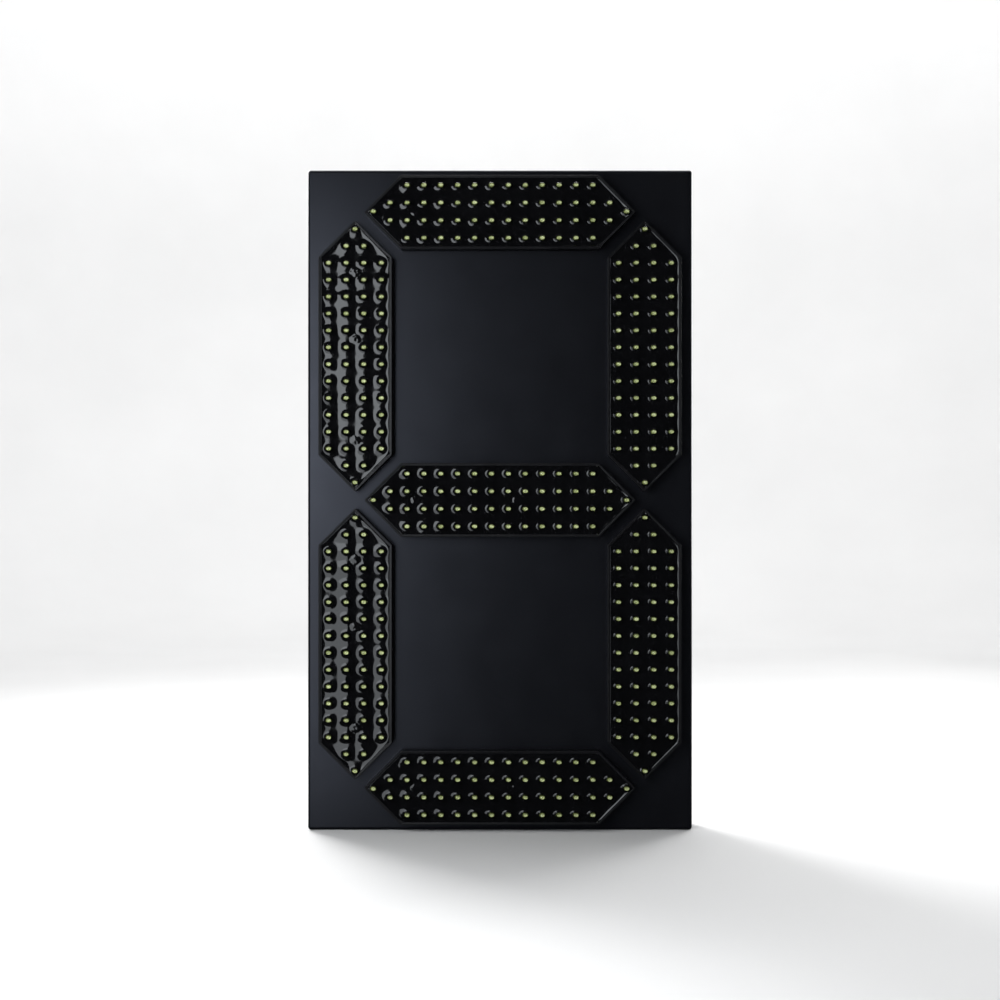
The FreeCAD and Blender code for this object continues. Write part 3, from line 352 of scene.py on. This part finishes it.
class Potting:
    """The resin in a tray: nearly level, and drawn up where it wets the LEDs and the wall."""

    step = 0.404 * MM  # spacing of the grid's lines
    led_rise, led_reach = 0.82 * MM, 1.90 * MM
    lip_rise, lip_reach = 0.32 * MM, 0.50 * MM
    wall_rise, wall_reach = 0.80 * MM, 1.15 * MM
    screw_rise, screw_reach = 0.36 * MM, 3.0 * MM
    wrinkle_height, wrinkle_reach = 0.05 * MM, 4.0 * MM
    wave_height, wave_lengths = 0.13 * MM, (14 * MM, 70 * MM)
    ripple_height, ripple_lengths = 0.016 * MM, (5 * MM, 11 * MM)
    wrinkle_lengths = 2.2 * MM, 5.5 * MM

    def __init__(self, length, width):
        self.half_length, self.half_width = length / 2, width / 2
        ends = round(self.half_width / self.step)
        shoulder = self.half_length - self.half_width
        straight = round(2 * shoulder / self.step)
        end_steps = np.arange(ends) / ends * self.half_width
        level = np.linspace(-shoulder, shoulder, straight + 1)
        self.across = np.linspace(-self.half_width, self.half_width, 2 * ends + 1)
        self.along = np.concatenate(
            [end_steps - self.half_length, level, self.half_length - end_steps[::-1]]
        )

    def inside(self):
        """Which of the grid's points lie within the hexagon."""
        reach = np.abs(self.along)[:, None] + np.abs(self.across)[None, :]
        return reach <= self.half_length + 1e-7

    def build(self):
        """The points inside the hexagon and the faces of the top surface."""
        kept = self.inside()
        number = np.full(kept.shape, -1)
        number[kept] = np.arange(kept.sum())
        faces = []
        rows, columns = kept.shape
        for i in range(rows - 1):
            block = number[i : i + 2]
            for j in range(columns - 1):
                ring = (block[0, j], block[1, j], block[1, j + 1], block[0, j + 1])
                ring = tuple(int(k) for k in ring if k >= 0)
                if len(ring) > 2:
                    faces.append(ring)
        i, j = np.nonzero(kept)
        return self.along[i], self.across[j], faces

    def height(self, along, across, upright, seed):
        """How far the resin stands above its own level."""
        half_along, half_across = LENS_HALF_WIDTH, LENS_HALF_BREADTH
        if upright:
            half_along, half_across = half_across, half_along
        rise = waves(along, across, seed, *self.wave_lengths) * self.wave_height
        rise += waves(along, across, seed + 90, *self.ripple_lengths) * self.ripple_height
        wrinkles = waves(along, across, seed + 50, *self.wrinkle_lengths) * self.wrinkle_height
        for led_along, led_across in led_places():
            du, dv = along - led_along, across - led_across
            near = (np.abs(du) < LED_PITCH) & (np.abs(dv) < LED_PITCH)
            out = np.hypot(du[near], dv[near])
            share = np.hypot(du[near] / half_along, dv[near] / half_across)
            gap = np.maximum(out - out / np.maximum(share, 1e-6), 0.0)
            gap[share < 1] = 0.0
            rise[near] += self.led_rise * np.exp(-gap / self.led_reach)
            rise[near] += self.lip_rise * np.exp(-gap / self.lip_reach)
        for step in SCREW_STEPS:
            out = np.hypot(along - step * LED_PITCH, across)
            rise += self.screw_rise * np.exp(-((out / self.screw_reach) ** 4))
            rise += wrinkles * np.exp(-((out / self.wrinkle_reach) ** 4))
        side = self.half_width - np.abs(across)
        end = (self.half_length - np.abs(along) - np.abs(across)) / math.sqrt(2)
        for gap in (side, end):
            rise += self.wall_rise * np.exp(-np.maximum(gap, 0) / self.wall_reach)
        return rise


def waves(along, across, seed, shortest, longest):
    """An unevenness between about -1 and 1: plane waves of random lengths and directions."""
    draw = np.random.default_rng(seed)
    total = np.zeros_like(along)
    count = 14
    for _ in range(count):
        angle = draw.uniform(0, math.tau)
        length = draw.uniform(shortest, longest)
        phase = draw.uniform(0, math.tau)
        way = along * math.cos(angle) + across * math.sin(angle)
        total += np.sin(way / length * math.tau + phase)
    return total / math.sqrt(count)


def close_below(thing, base):
    """Turns an open surface into a solid: walls down to the plane y = base, and a floor."""
    mesh = bmesh.new()
    mesh.from_mesh(thing.data)
    rim = [edge for edge in mesh.edges if edge.is_boundary]
    made = bmesh.ops.extrude_edge_only(mesh, edges=rim)["geom"]
    for point in (item for item in made if isinstance(item, bmesh.types.BMVert)):
        point.co.y = base
    floor = [item for item in made if isinstance(item, bmesh.types.BMEdge) and item.is_boundary]
    bmesh.ops.contextual_create(mesh, geom=floor)
    bmesh.ops.recalc_face_normals(mesh, faces=mesh.faces)
    mesh.to_mesh(thing.data)
    mesh.free()


def make_pottings(resin):
    """The resin of every segment, each with its own unevenness."""
    low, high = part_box("potting_middle")
    form = Potting(high.x - low.x, high.z - low.z)
    along, across, faces = form.build()
    for seed, (name, upright) in enumerate(SEGMENTS.items()):
        low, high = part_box(f"potting_{name}")
        height = -low.y + form.height(along, across, upright, seed + 11)
        points = to_row_frame(name, along, height, across)
        piece = make_piece(f"resin_{name}", points, faces, resin)
        close_below(piece, high.y)
        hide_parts(f"potting_{name}")


# ---------------------------------------------------------------- LEDs


def oval(half_width, half_breadth, height, sides=LENS_SIDES):
    """A ring of points round an LED's axis, its long axis along X."""
    turn = np.arange(sides) / sides * math.tau
    squareness = 0.9
    x = half_width * np.sign(np.cos(turn)) * np.abs(np.cos(turn)) ** squareness
    z = half_breadth * np.sign(np.sin(turn)) * np.abs(np.sin(turn)) ** squareness
    return np.stack([x, np.full(sides, -height), z], axis=-1)


def lens_form(base, tip):
    """The clear outside of an LED: flange, wall and dome."""
    a, b, edge = LENS_HALF_WIDTH, LENS_HALF_BREADTH, LENS_FLANGE
    wall_top = tip - DOME_HEIGHT
    rings = [
        oval(a + edge, b + edge, base),
        oval(a + edge, b + edge, base + FLANGE_HEIGHT),
        oval(a, b, base + FLANGE_HEIGHT),
        oval(a * LENS_TAPER, b * LENS_TAPER, wall_top),
    ]
    for angle in (18, 36, 52, 66, 78):
        lean = math.radians(angle)
        shrink = LENS_TAPER * math.cos(lean)
        rings.append(oval(a * shrink, b * shrink, wall_top + DOME_HEIGHT * math.sin(lean)))
    points = np.concatenate(rings + [np.array([[0.0, -tip, 0.0]])])
    faces = tube_faces(len(rings), LENS_SIDES, closed_ends=False)
    faces.append(tuple(reversed(range(LENS_SIDES))))
    last, top = (len(rings) - 1) * LENS_SIDES, len(points) - 1
    for side in range(LENS_SIDES):
        faces.append((last + side, last + (side + 1) % LENS_SIDES, top))
    return points, faces


def core_form(base, tip):
    """The tinted inside of an LED, hollowed at the top like the cup below its dome."""
    a, b = LENS_HALF_WIDTH, LENS_HALF_BREADTH
    rim = tip - CUP_BELOW_TIP
    collar = base + COLLAR_HEIGHT
    rings = [
        oval(a * 0.97, b * 0.97, base + 0.2 * MM),
        oval(a * 0.97, b * 0.97, collar - 0.1 * MM),
        oval(a * 0.94, b * 0.94, collar),
        oval(a * 0.73, b * 0.78, collar),
        oval(a * 0.71, b * 0.76, rim - 0.6 * MM),
        oval(a * 0.65, b * 0.69, rim - 0.15 * MM) + CUP_SHIFT * 0.3,
        oval(a * 0.55, b * 0.57, rim) + CUP_SHIFT * 0.7,
        oval(a * 0.44, b * 0.45, rim - 0.20 * MM) + CUP_SHIFT,
        oval(a * 0.31, b * 0.32, rim - 0.60 * MM) + CUP_SHIFT,
        oval(a * 0.13, b * 0.14, rim - 0.80 * MM) + CUP_SHIFT,
    ]
    faces = tube_faces(len(rings), LENS_SIDES)
    return np.concatenate(rings), faces


def core_finishes(faces):
    """The finish of each face of the core: collar 0, side 1, cup's edge 2, cup's middle 3, running
    from painted shade on the collar to a painted highlight in the cup's middle.
    """
    ends = np.array([3, 4, 6]) * LENS_SIDES
    chosen = [int((ends <= face).sum()) for face in range(len(faces))]
    chosen[-2] = 0  # the cap under the collar
    return chosen


def leg_form(base, board_rear):
    """The two legs, from the flange to behind the board."""
    points, faces = [], []
    half = LEG / 2
    for side in (-1, 1):
        x = side * LEG_PITCH / 2
        first = len(points)
        for height in (base, board_rear - LEG_STUB):
            points += [
                (x - half, -height, -half), (x + half, -height, -half),
                (x + half, -height, half), (x - half, -height, half),
            ]
        faces += tube_faces(2, 4, first=first)
    return np.array(points), faces


def repeated(form, places):
    """The points and faces of a form set down at many places."""
    points, faces = form
    all_points = np.concatenate([points + place for place in places])
    count = len(points)
    all_faces = [
        tuple(index + copy * count for index in face)
        for copy in range(len(places))
        for face in faces
    ]
    return all_points, all_faces


def make_leds(lens, core_items, metal):
    """The LEDs of every segment: clear lens, tinted core and legs."""
    for name in SEGMENTS:
        low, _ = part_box(f"leds_{name}")
        _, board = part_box(f"led_board_{name}")
        tip = -low.y
        base = tip - LED_HEIGHT
        spots = np.array(led_places())
        places = to_row_frame(name, spots[:, 0], 0.0, spots[:, 1])
        lenses = make_piece(
            f"led_lenses_{name}", *repeated(lens_form(base, tip), places), lens
        )
        core = core_form(base, tip)
        cores = make_piece(
            f"led_cores_{name}", *repeated(core, places), *core_items,
            chosen=core_finishes(core[1]) * len(places),
        )
        legs = make_piece(
            f"led_legs_{name}", *repeated(leg_form(base, -board.y), places), metal, smooth=False
        )
        for piece in (lenses, cores, legs):
            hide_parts(f"leds_{name}")


# ---------------------------------------------------------------- leads


DRIVER_LEVEL = -102.5 * MM  # height of the driver board's centre
SOCKET_SPREAD = 18 * MM
PLUG_REACH = 5 * MM
WIRE_RADIUS = 0.76 * MM
TWIST_RADIUS = 0.80 * MM
TWIST_PITCH = 15 * MM

CONNECTORS = {  # the board's edge as (across, up) signs, and how far along it, in spreads
    "upper_left": (-1, 0, 1.2),
    "lower_left": (-1, 0, 0.2),
    "upper_right": (1, 0, 1.2),
    "lower_right": (1, 0, 0.2),
    "middle": (0, 1, -0.3),
    "top": (0, 1, 1.0),
    "bottom": (0, -1, 0.3),
}
LEAD_POINTS = {  # what each lead passes between its bush and its plug, as (x, z), in mm
    "top": [(0, 152), (15, 96), (20, 30), (18, -20)],
    "upper_left": [(-103, 40), (-95, -22), (-90, -66), (-78, -81)],
    "upper_right": [(103, 42), (94, -18), (90, -64), (77, -81)],
    "lower_left": [(-87, -102.5), (-74, -99)],
    "lower_right": [(86, -102.5), (73, -99)],
    "middle": [(0, -20), (-5, -38)],
    "bottom": [(0, -187), (5.5, -168)],
}


def lead_route(name):
    """Control points of a lead, from the back of its segment's board to its plug."""
    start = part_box(f"lead_{name}")[0].y
    level = middle_of("segment_plugs").y
    tray = middle_of(f"tray_{name}")
    low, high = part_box("driver_board")
    across, up, step = CONNECTORS[name]
    along = step * SOCKET_SPREAD
    out = PLUG_REACH
    if across:
        end = Vector((across * (high.x + out), level, DRIVER_LEVEL + along))
    else:
        end = Vector((along, level, DRIVER_LEVEL + up * ((high.z - low.z) / 2 + out)))
    passed = [Vector((x * MM, level, z * MM)) for x, z in LEAD_POINTS[name]]
    corner = Vector((tray.x, level, tray.z))
    onward = (passed[0] - corner).normalized() * (level - start)
    points = [Vector((tray.x, start, tray.z)), corner]
    if (passed[0] - corner).length > 2 * onward.length:
        points.append(corner + onward)
    return points + passed + [end]


def smooth_line(points, spacing=0.7 * MM):
    """Points along the NURBS curve of a route."""
    curve = bpy.data.curves.new("route", "CURVE")
    curve.dimensions = "3D"
    spline = curve.splines.new("NURBS")
    spline.points.add(len(points) - 1)
    for item, point in zip(spline.points, points):
        item.co = (*point, 1.0)
    spline.order_u = 3
    spline.use_endpoint_u = True
    length = sum((b - a).length for a, b in zip(points, points[1:]))
    curve.resolution_u = max(4, int(length / len(points) / spacing))
    thing = bpy.data.objects.new("route", curve)
    mesh = bpy.data.meshes.new_from_object(thing)
    line = [point.co.copy() for point in mesh.vertices]
    bpy.data.objects.remove(thing)
    bpy.data.meshes.remove(mesh)
    bpy.data.curves.remove(curve)
    return line


def frames_along(line):
    """At each point of a line, two directions square to it that don't spin."""
    ways = [(b - a).normalized() for a, b in zip(line, line[1:])]
    ways.append(ways[-1])
    side = ways[0].orthogonal().normalized()
    frames = []
    for way in ways:
        side = (side - way * side.dot(way)).normalized()
        frames.append((side, way.cross(side)))
    return frames


def wire_form(line, phase, sides=10):
    """One wire of a twisted pair that follows a line."""
    frames = frames_along(line)
    path, travelled = [], 0.0
    for index, (point, (side, up)) in enumerate(zip(line, frames)):
        if index:
            travelled += (point - line[index - 1]).length
        angle = phase + travelled / TWIST_PITCH * math.tau
        path.append(point + (side * math.cos(angle) + up * math.sin(angle)) * TWIST_RADIUS)
    points = []
    for point, (side, up) in zip(path, frames_along(path)):
        for corner in range(sides):
            angle = corner / sides * math.tau
            points.append(point + (side * math.cos(angle) + up * math.sin(angle)) * WIRE_RADIUS)
    return points, tube_faces(len(path), sides)


def make_leads(colours):
    """Each lead as a twisted pair in place of its plain tube."""
    for name in SEGMENTS:
        line = smooth_line(lead_route(name))
        for index, (colour, item) in enumerate(colours.items()):
            piece = make_piece(f"wire_{colour}_{name}", *wire_form(line, index * math.pi), item)
            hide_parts(f"lead_{name}")


# ---------------------------------------------------------------- driver board's artwork


PIN_PITCH = 2.54  # of the chips and headers; all the artwork is in mm from the board's centre
TRANSISTOR_PLACES = [(step * 11.5, 20.0) for step in range(-3, 4)]
SOCKET_PLACES = [(-55, 21.6), (-55, 3.6), (-5.4, 42), (18, 42), (55, 21.6), (55, 3.6), (5.4, -42)]


def strip_form(lines, width, level, thickness):
    """Flat strips along lines of (x, z) points, in mm from the driver board's centre."""
    points, faces = [], []
    half = width / 2
    for line in lines:
        for start, end in zip(line, line[1:]):
            a, b = (Vector((x * MM, 0, DRIVER_LEVEL + z * MM)) for x, z in (start, end))
            way = (b - a).normalized() * half
            side = Vector((-way.z, 0, way.x))
            corners = [a - way - side, b + way - side, b + way + side, a - way + side]
            first = len(points)
            for y in (level, level + thickness):
                points += [(corner.x, y, corner.z) for corner in corners]
            faces += tube_faces(2, 4, first=first)
    return points, faces


def outline(x, z, width, height):
    """The closed line round a rectangle."""
    left, right, low, high = x - width / 2, x + width / 2, z - height / 2, z + height / 2
    return [(left, low), (right, low), (right, high), (left, high), (left, low)]


def signal_lines():
    """Thin tracks: transistors to gate resistors to chips, chip to chip, headers to chips."""
    lines = []
    for step, (x, z) in enumerate(TRANSISTOR_PLACES):
        pin = -2.2 + step * PIN_PITCH
        bend = 7.6 + 0.55 * abs(step - 3)
        lines.append([(x, z - 4.5), (x, z - 6.9)])
        lines.append([(x, 9.9), (x, bend), (pin, bend - 1.4), (pin, 5.0)])
    for step in range(8):
        left, right = -32.9 + step * PIN_PITCH, -2.2 + step * PIN_PITCH
        low = -5.0 - 0.65 * step
        lines.append([(left, -3.0), (left, low), (right, low), (right, -3.0)])
    for step in range(5):
        left, right = -27.1 + step * PIN_PITCH, 2.9 + step * PIN_PITCH
        low = -23 - step * 0.8
        for x in (left, right):
            lines.append([(x, -12.4), (x, -10.6)])
        lines.append([(left, -21.6), (left, low), (right, low), (right, -21.6)])
    return lines


def power_lines():
    """Broad tracks: supply to capacitors and rail, and each transistor's tab to its socket."""
    lines = [
        [(-26.5, -33), (-26.5, -30), (40, -30), (44, -26), (44, 15), (42, 17)],
        [(-21.5, -33), (-21.5, -31.8), (28, -31.8), (30, -29.8), (30, -19), (36, -19), (36, -7)],
    ]
    order = [0, 1, 2, 3, 5, 4, 6]
    for step, place in enumerate(order[:6]):
        x, z = TRANSISTOR_PLACES[step]
        end_x, end_z = SOCKET_PLACES[place]
        if abs(end_x) > 50:
            side = math.copysign(46.5, end_x)
            level = 26.5 + 1.4 * (step % 3)
            lines.append([(x, z + 4.5), (x, level), (math.copysign(41, end_x), level),
                          (side - math.copysign(3, end_x), end_z), (side, end_z)])
        else:
            lines.append([(x, z + 4.5), (x, 30), (end_x, 33), (end_x, 34)])
    lines.append([(34.5, 24.5), (38.5, 24.5), (40.5, 22.5), (40.5, -26), (38, -28.3),
                  (7.4, -28.3), (5.4, -30.3), (5.4, -33.5)])
    return lines


def make_artwork():
    """Tracks under the solder mask, and printed outlines round the parts."""
    _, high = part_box("driver_board")
    masked = surface("masked_copper", (0.016, 0.105, 0.040), (0.024, 0.135, 0.052), (0.2, 0.3))
    print_ink = surface("board_print", (0.60, 0.60, 0.57), (0.72, 0.72, 0.69), (0.5, 0.6))
    outlines = [outline(x, z + 0.5, 8.4, 11.4) for x, z in TRANSISTOR_PLACES]
    outlines += [outline(x, 11.5, 2.6, 4.4) for x, _ in TRANSISTOR_PLACES]
    outlines += [outline(-24, 1, 21.6, 9.4), outline(8, 1, 24.2, 9.4)]
    outlines += [outline(-22, -17, 21.8, 10.4), outline(8, -17, 21.8, 10.4)]
    ring = [(math.cos(k / 24 * math.tau) * 4.9, math.sin(k / 24 * math.tau) * 4.9)
            for k in range(25)]
    outlines += [[(36 + x, z + level) for x, z in ring] for level in (-7, -19)]
    for name, lines, width, thickness, item in (
        ("signal_tracks", signal_lines(), 0.5 * MM, 0.035 * MM, masked),
        ("power_tracks", power_lines(), 1.1 * MM, 0.045 * MM, masked),
        ("board_outlines", outlines, 0.22 * MM, 0.06 * MM, print_ink),
    ):
        form = strip_form(lines, width, high.y, thickness)
        make_piece(name, *form, item, smooth=False)


# ---------------------------------------------------------------- finishes of the CAD nodes


def give(item, *names):
    """Puts a material on CAD nodes."""
    for name in names:
        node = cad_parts[name]
        for slot in node.material_slots:
            slot.material = item


def finish_nodes():
    """The materials of the pieces that stay as the CAD made them."""
    give(paint_material(), "face_panel")
    moulding = surface(
        "black_moulding", (0.004, 0.004, 0.005), (0.007, 0.007, 0.0085), (0.34, 0.44),
        patches=40.0, grain=1400.0, grain_depth=0.00003, specular=0.3,
    )
    give(moulding, *[f"tray_{name}" for name in SEGMENTS], "data_headers")
    laminate = surface(
        "solder_mask", (0.008, 0.060, 0.022), (0.012, 0.085, 0.032), (0.22, 0.34), patches=30.0
    )
    give(laminate, *[f"led_board_{name}" for name in SEGMENTS], "driver_board")
    zinc = surface(
        "zinc_plate", (0.50, 0.50, 0.48), (0.68, 0.68, 0.66), (0.26, 0.42), 1.0, patches=260.0
    )
    give(
        zinc, "board_screws", "tray_bolts", "tray_washers", "tray_nuts", "driver_pillars",
        "driver_screws", "terminal_screws", "earth_stud", "earth_nut",
    )
    give(
        surface("gold_flash", (0.70, 0.50, 0.20), (0.83, 0.64, 0.30), (0.2, 0.3), 1.0),
        "header_pins",
    )
    give(
        surface("natural_nylon", (0.62, 0.60, 0.52), (0.74, 0.72, 0.64), (0.42, 0.55)),
        "segment_sockets", "segment_plugs", "lead_saddles",
    )
    epoxy = (0.014, 0.014, 0.015), (0.024, 0.024, 0.026)
    ceramic = (0.020, 0.020, 0.022), (0.034, 0.034, 0.037)
    tin = (0.62, 0.62, 0.60), (0.76, 0.76, 0.74)
    give(banded("chip", "Z", "shift_register", 3.21 * MM, epoxy, tin),
         "shift_register", "output_driver")
    give(banded("transistor", "Z", "switching_transistors", 3.46 * MM, epoxy, tin),
         "switching_transistors")
    give(banded("resistor", "Z", "gate_resistors", 1.1 * MM, ceramic, tin), "gate_resistors")
    give(surface("resistor_film", *ceramic, (0.45, 0.6)), "ballast_resistors")
    give(
        surface("terminal_green", (0.015, 0.16, 0.06), (0.025, 0.22, 0.09), (0.3, 0.42)),
        "power_terminal",
    )
    give(
        surface("soft_rubber", (0.012, 0.012, 0.012), (0.022, 0.022, 0.022), (0.6, 0.8)),
        "lead_bushes",
    )
    sleeve = (0.02, 0.03, 0.07), (0.03, 0.045, 0.10)
    low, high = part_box("smoothing_capacitors")
    give(banded("can", "Y", "smoothing_capacitors", (high.y - low.y) / 2 - 0.3 * MM, sleeve, tin),
         "smoothing_capacitors")
    return zinc


# ---------------------------------------------------------------- stage


def make_stage():
    """A pale floor that curves up into a wall all round."""
    floor = cad_low.z - 0.2 * MM
    flat, bend, wall, sides = 1.5, 0.8, 2.4, 96
    profile = [(0.01, 0.0), (0.5, 0.0), (1.0, 0.0), (flat, 0.0)]
    for step in range(1, 13):
        lean = step / 12 * math.pi / 2
        profile.append((flat + bend * math.sin(lean), bend * (1 - math.cos(lean))))
    profile.append((flat + bend, wall))
    points = [
        (r * math.cos(k / sides * math.tau), r * math.sin(k / sides * math.tau), floor + h)
        for r, h in profile
        for k in range(sides)
    ]
    faces = tube_faces(len(profile), sides, closed_ends=False)
    faces.append(tuple(reversed(range(sides))))
    item, tree, shader = new_material("pale_floor")
    tree.links.new(
        blend_colours(
            tree, spread(tree, noise(tree, 3.0), 0.0, 1.0), (0.80, 0.80, 0.80), (0.84, 0.84, 0.84)
        ),
        shader.inputs["Base Color"],
    )
    shader.inputs["Roughness"].default_value = 0.8
    mesh = bpy.data.meshes.new("stage_floor")
    mesh.from_pydata(points, [], faces)
    mesh.materials.append(item)
    mesh.polygons.foreach_set("use_smooth", [True] * len(mesh.polygons))
    thing = bpy.data.objects.new("stage_floor", mesh)
    bpy.context.scene.collection.objects.link(thing)
    thing.visible_glossy = False


def add_light(name, place, aim, width, height, power, colour=(1.0, 1.0, 1.0)):
    """A rectangular soft light that faces a point."""
    lamp = bpy.data.lights.new(name, "AREA")
    lamp.shape = "RECTANGLE"
    lamp.size, lamp.size_y = width, height
    lamp.energy = power
    lamp.color = colour
    thing = bpy.data.objects.new(name, lamp)
    bpy.context.scene.collection.objects.link(thing)
    thing.location = place
    thing.rotation_euler = (Vector(aim) - Vector(place)).to_track_quat("-Z", "Y").to_euler()
    thing.visible_camera = False
    return thing


def make_light():
    """A tall soft light on the left, washes for the surround, and weak fills for the rest."""
    cool = (0.90, 0.95, 1.0)
    heart = (0.0, 0.0, 0.05)
    add_light("key", (-0.325, -0.72, -0.01), heart, 0.31, 0.68, 1.6, cool)
    add_light("key_top", (-0.330, -0.73, 0.14), heart, 0.30, 0.36, 0.6, cool)
    add_light("wash_rear", (0.0, 0.9, 1.9), (0.0, 2.3, 0.2), 2.4, 1.0, 25.0)
    add_light("wash_front", (0.0, -0.9, 1.9), (0.0, -2.3, 0.2), 2.4, 1.0, 5.0)
    add_light("above", (0.0, 0.75, 2.0), (0.0, 0.75, 0.0), 1.8, 1.4, 20.0)
    rear_left = add_light("rear_left", (-0.8, 1.2, 0.8), (0.0, 0.0, 0.0), 0.8, 0.8, 4.0)
    rear_right = add_light("rear_right", (0.9, 1.1, 0.3), (0.0, 0.0, 0.0), 0.6, 0.8, 1.6)
    for light in (rear_left, rear_right):  # they light the object's back, not the floor
        light.data.spread = math.radians(60)
    front_fill = add_light("front_fill", (-0.5, -1.2, 0.7), (0.0, 0.0, 0.0), 0.9, 0.9, 1.0)
    left_fill = add_light("left_fill", (-0.52, -0.55, 0.22), (-0.1, 0.0, 0.1), 0.3, 0.3, 1.8)
    for light in (front_fill, left_fill):  # they light the LEDs, and don't mirror in the resin
        light.visible_glossy = False
    world = bpy.data.worlds.new("surround")
    bpy.context.scene.world = world
    world.use_nodes = True
    background = world.node_tree.nodes["Background"]
    background.inputs["Color"].default_value = (0.85, 0.92, 1.0, 1.0)
    background.inputs["Strength"].default_value = 0.02


def make_camera():
    """A level camera straight in front of the panel."""
    data = bpy.data.cameras.new("camera")
    camera = bpy.data.objects.new("camera", data)
    bpy.context.scene.collection.objects.link(camera)
    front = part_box("face_panel")[0].y
    camera.location = (0.0, front - CAMERA_DISTANCE, 0.0)
    camera.rotation_euler = (math.pi / 2, 0, 0)
    data.lens = data.sensor_width * CAMERA_DISTANCE / VIEW_WIDTH
    bpy.context.scene.camera = camera
    bpy.context.scene.view_settings.view_transform = "Standard"


zinc_plate = finish_nodes()
make_pottings(potting_material())
make_leds(
    lens_material(),
    [
        # One epoxy in four brightnesses: painted shade on the collar and side, painted light on
        # the cup's edge, a painted highlight in the cup's middle.
        core_material("led_epoxy_collar_painted_shade", (0.008, 0.009, 0.006), (0.014, 0.015, 0.010)),
        core_material("led_epoxy_side_painted_shade", (0.07, 0.08, 0.025), (0.17, 0.185, 0.07)),
        core_material("led_epoxy_edge_painted_half_light", (0.15, 0.175, 0.055), (0.46, 0.48, 0.23)),
        core_material("led_epoxy_cup_painted_highlight", (0.36, 0.39, 0.16), (0.94, 0.94, 0.78)),
    ],
    zinc_plate,
)
make_leads({
    "red": surface("red_insulation", (0.30, 0.012, 0.010), (0.38, 0.02, 0.016), (0.35, 0.45)),
    "black": surface("black_insulation", (0.012, 0.012, 0.013), (0.02, 0.02, 0.021), (0.35, 0.45)),
})
make_artwork()
make_stage()
make_light()
make_camera()
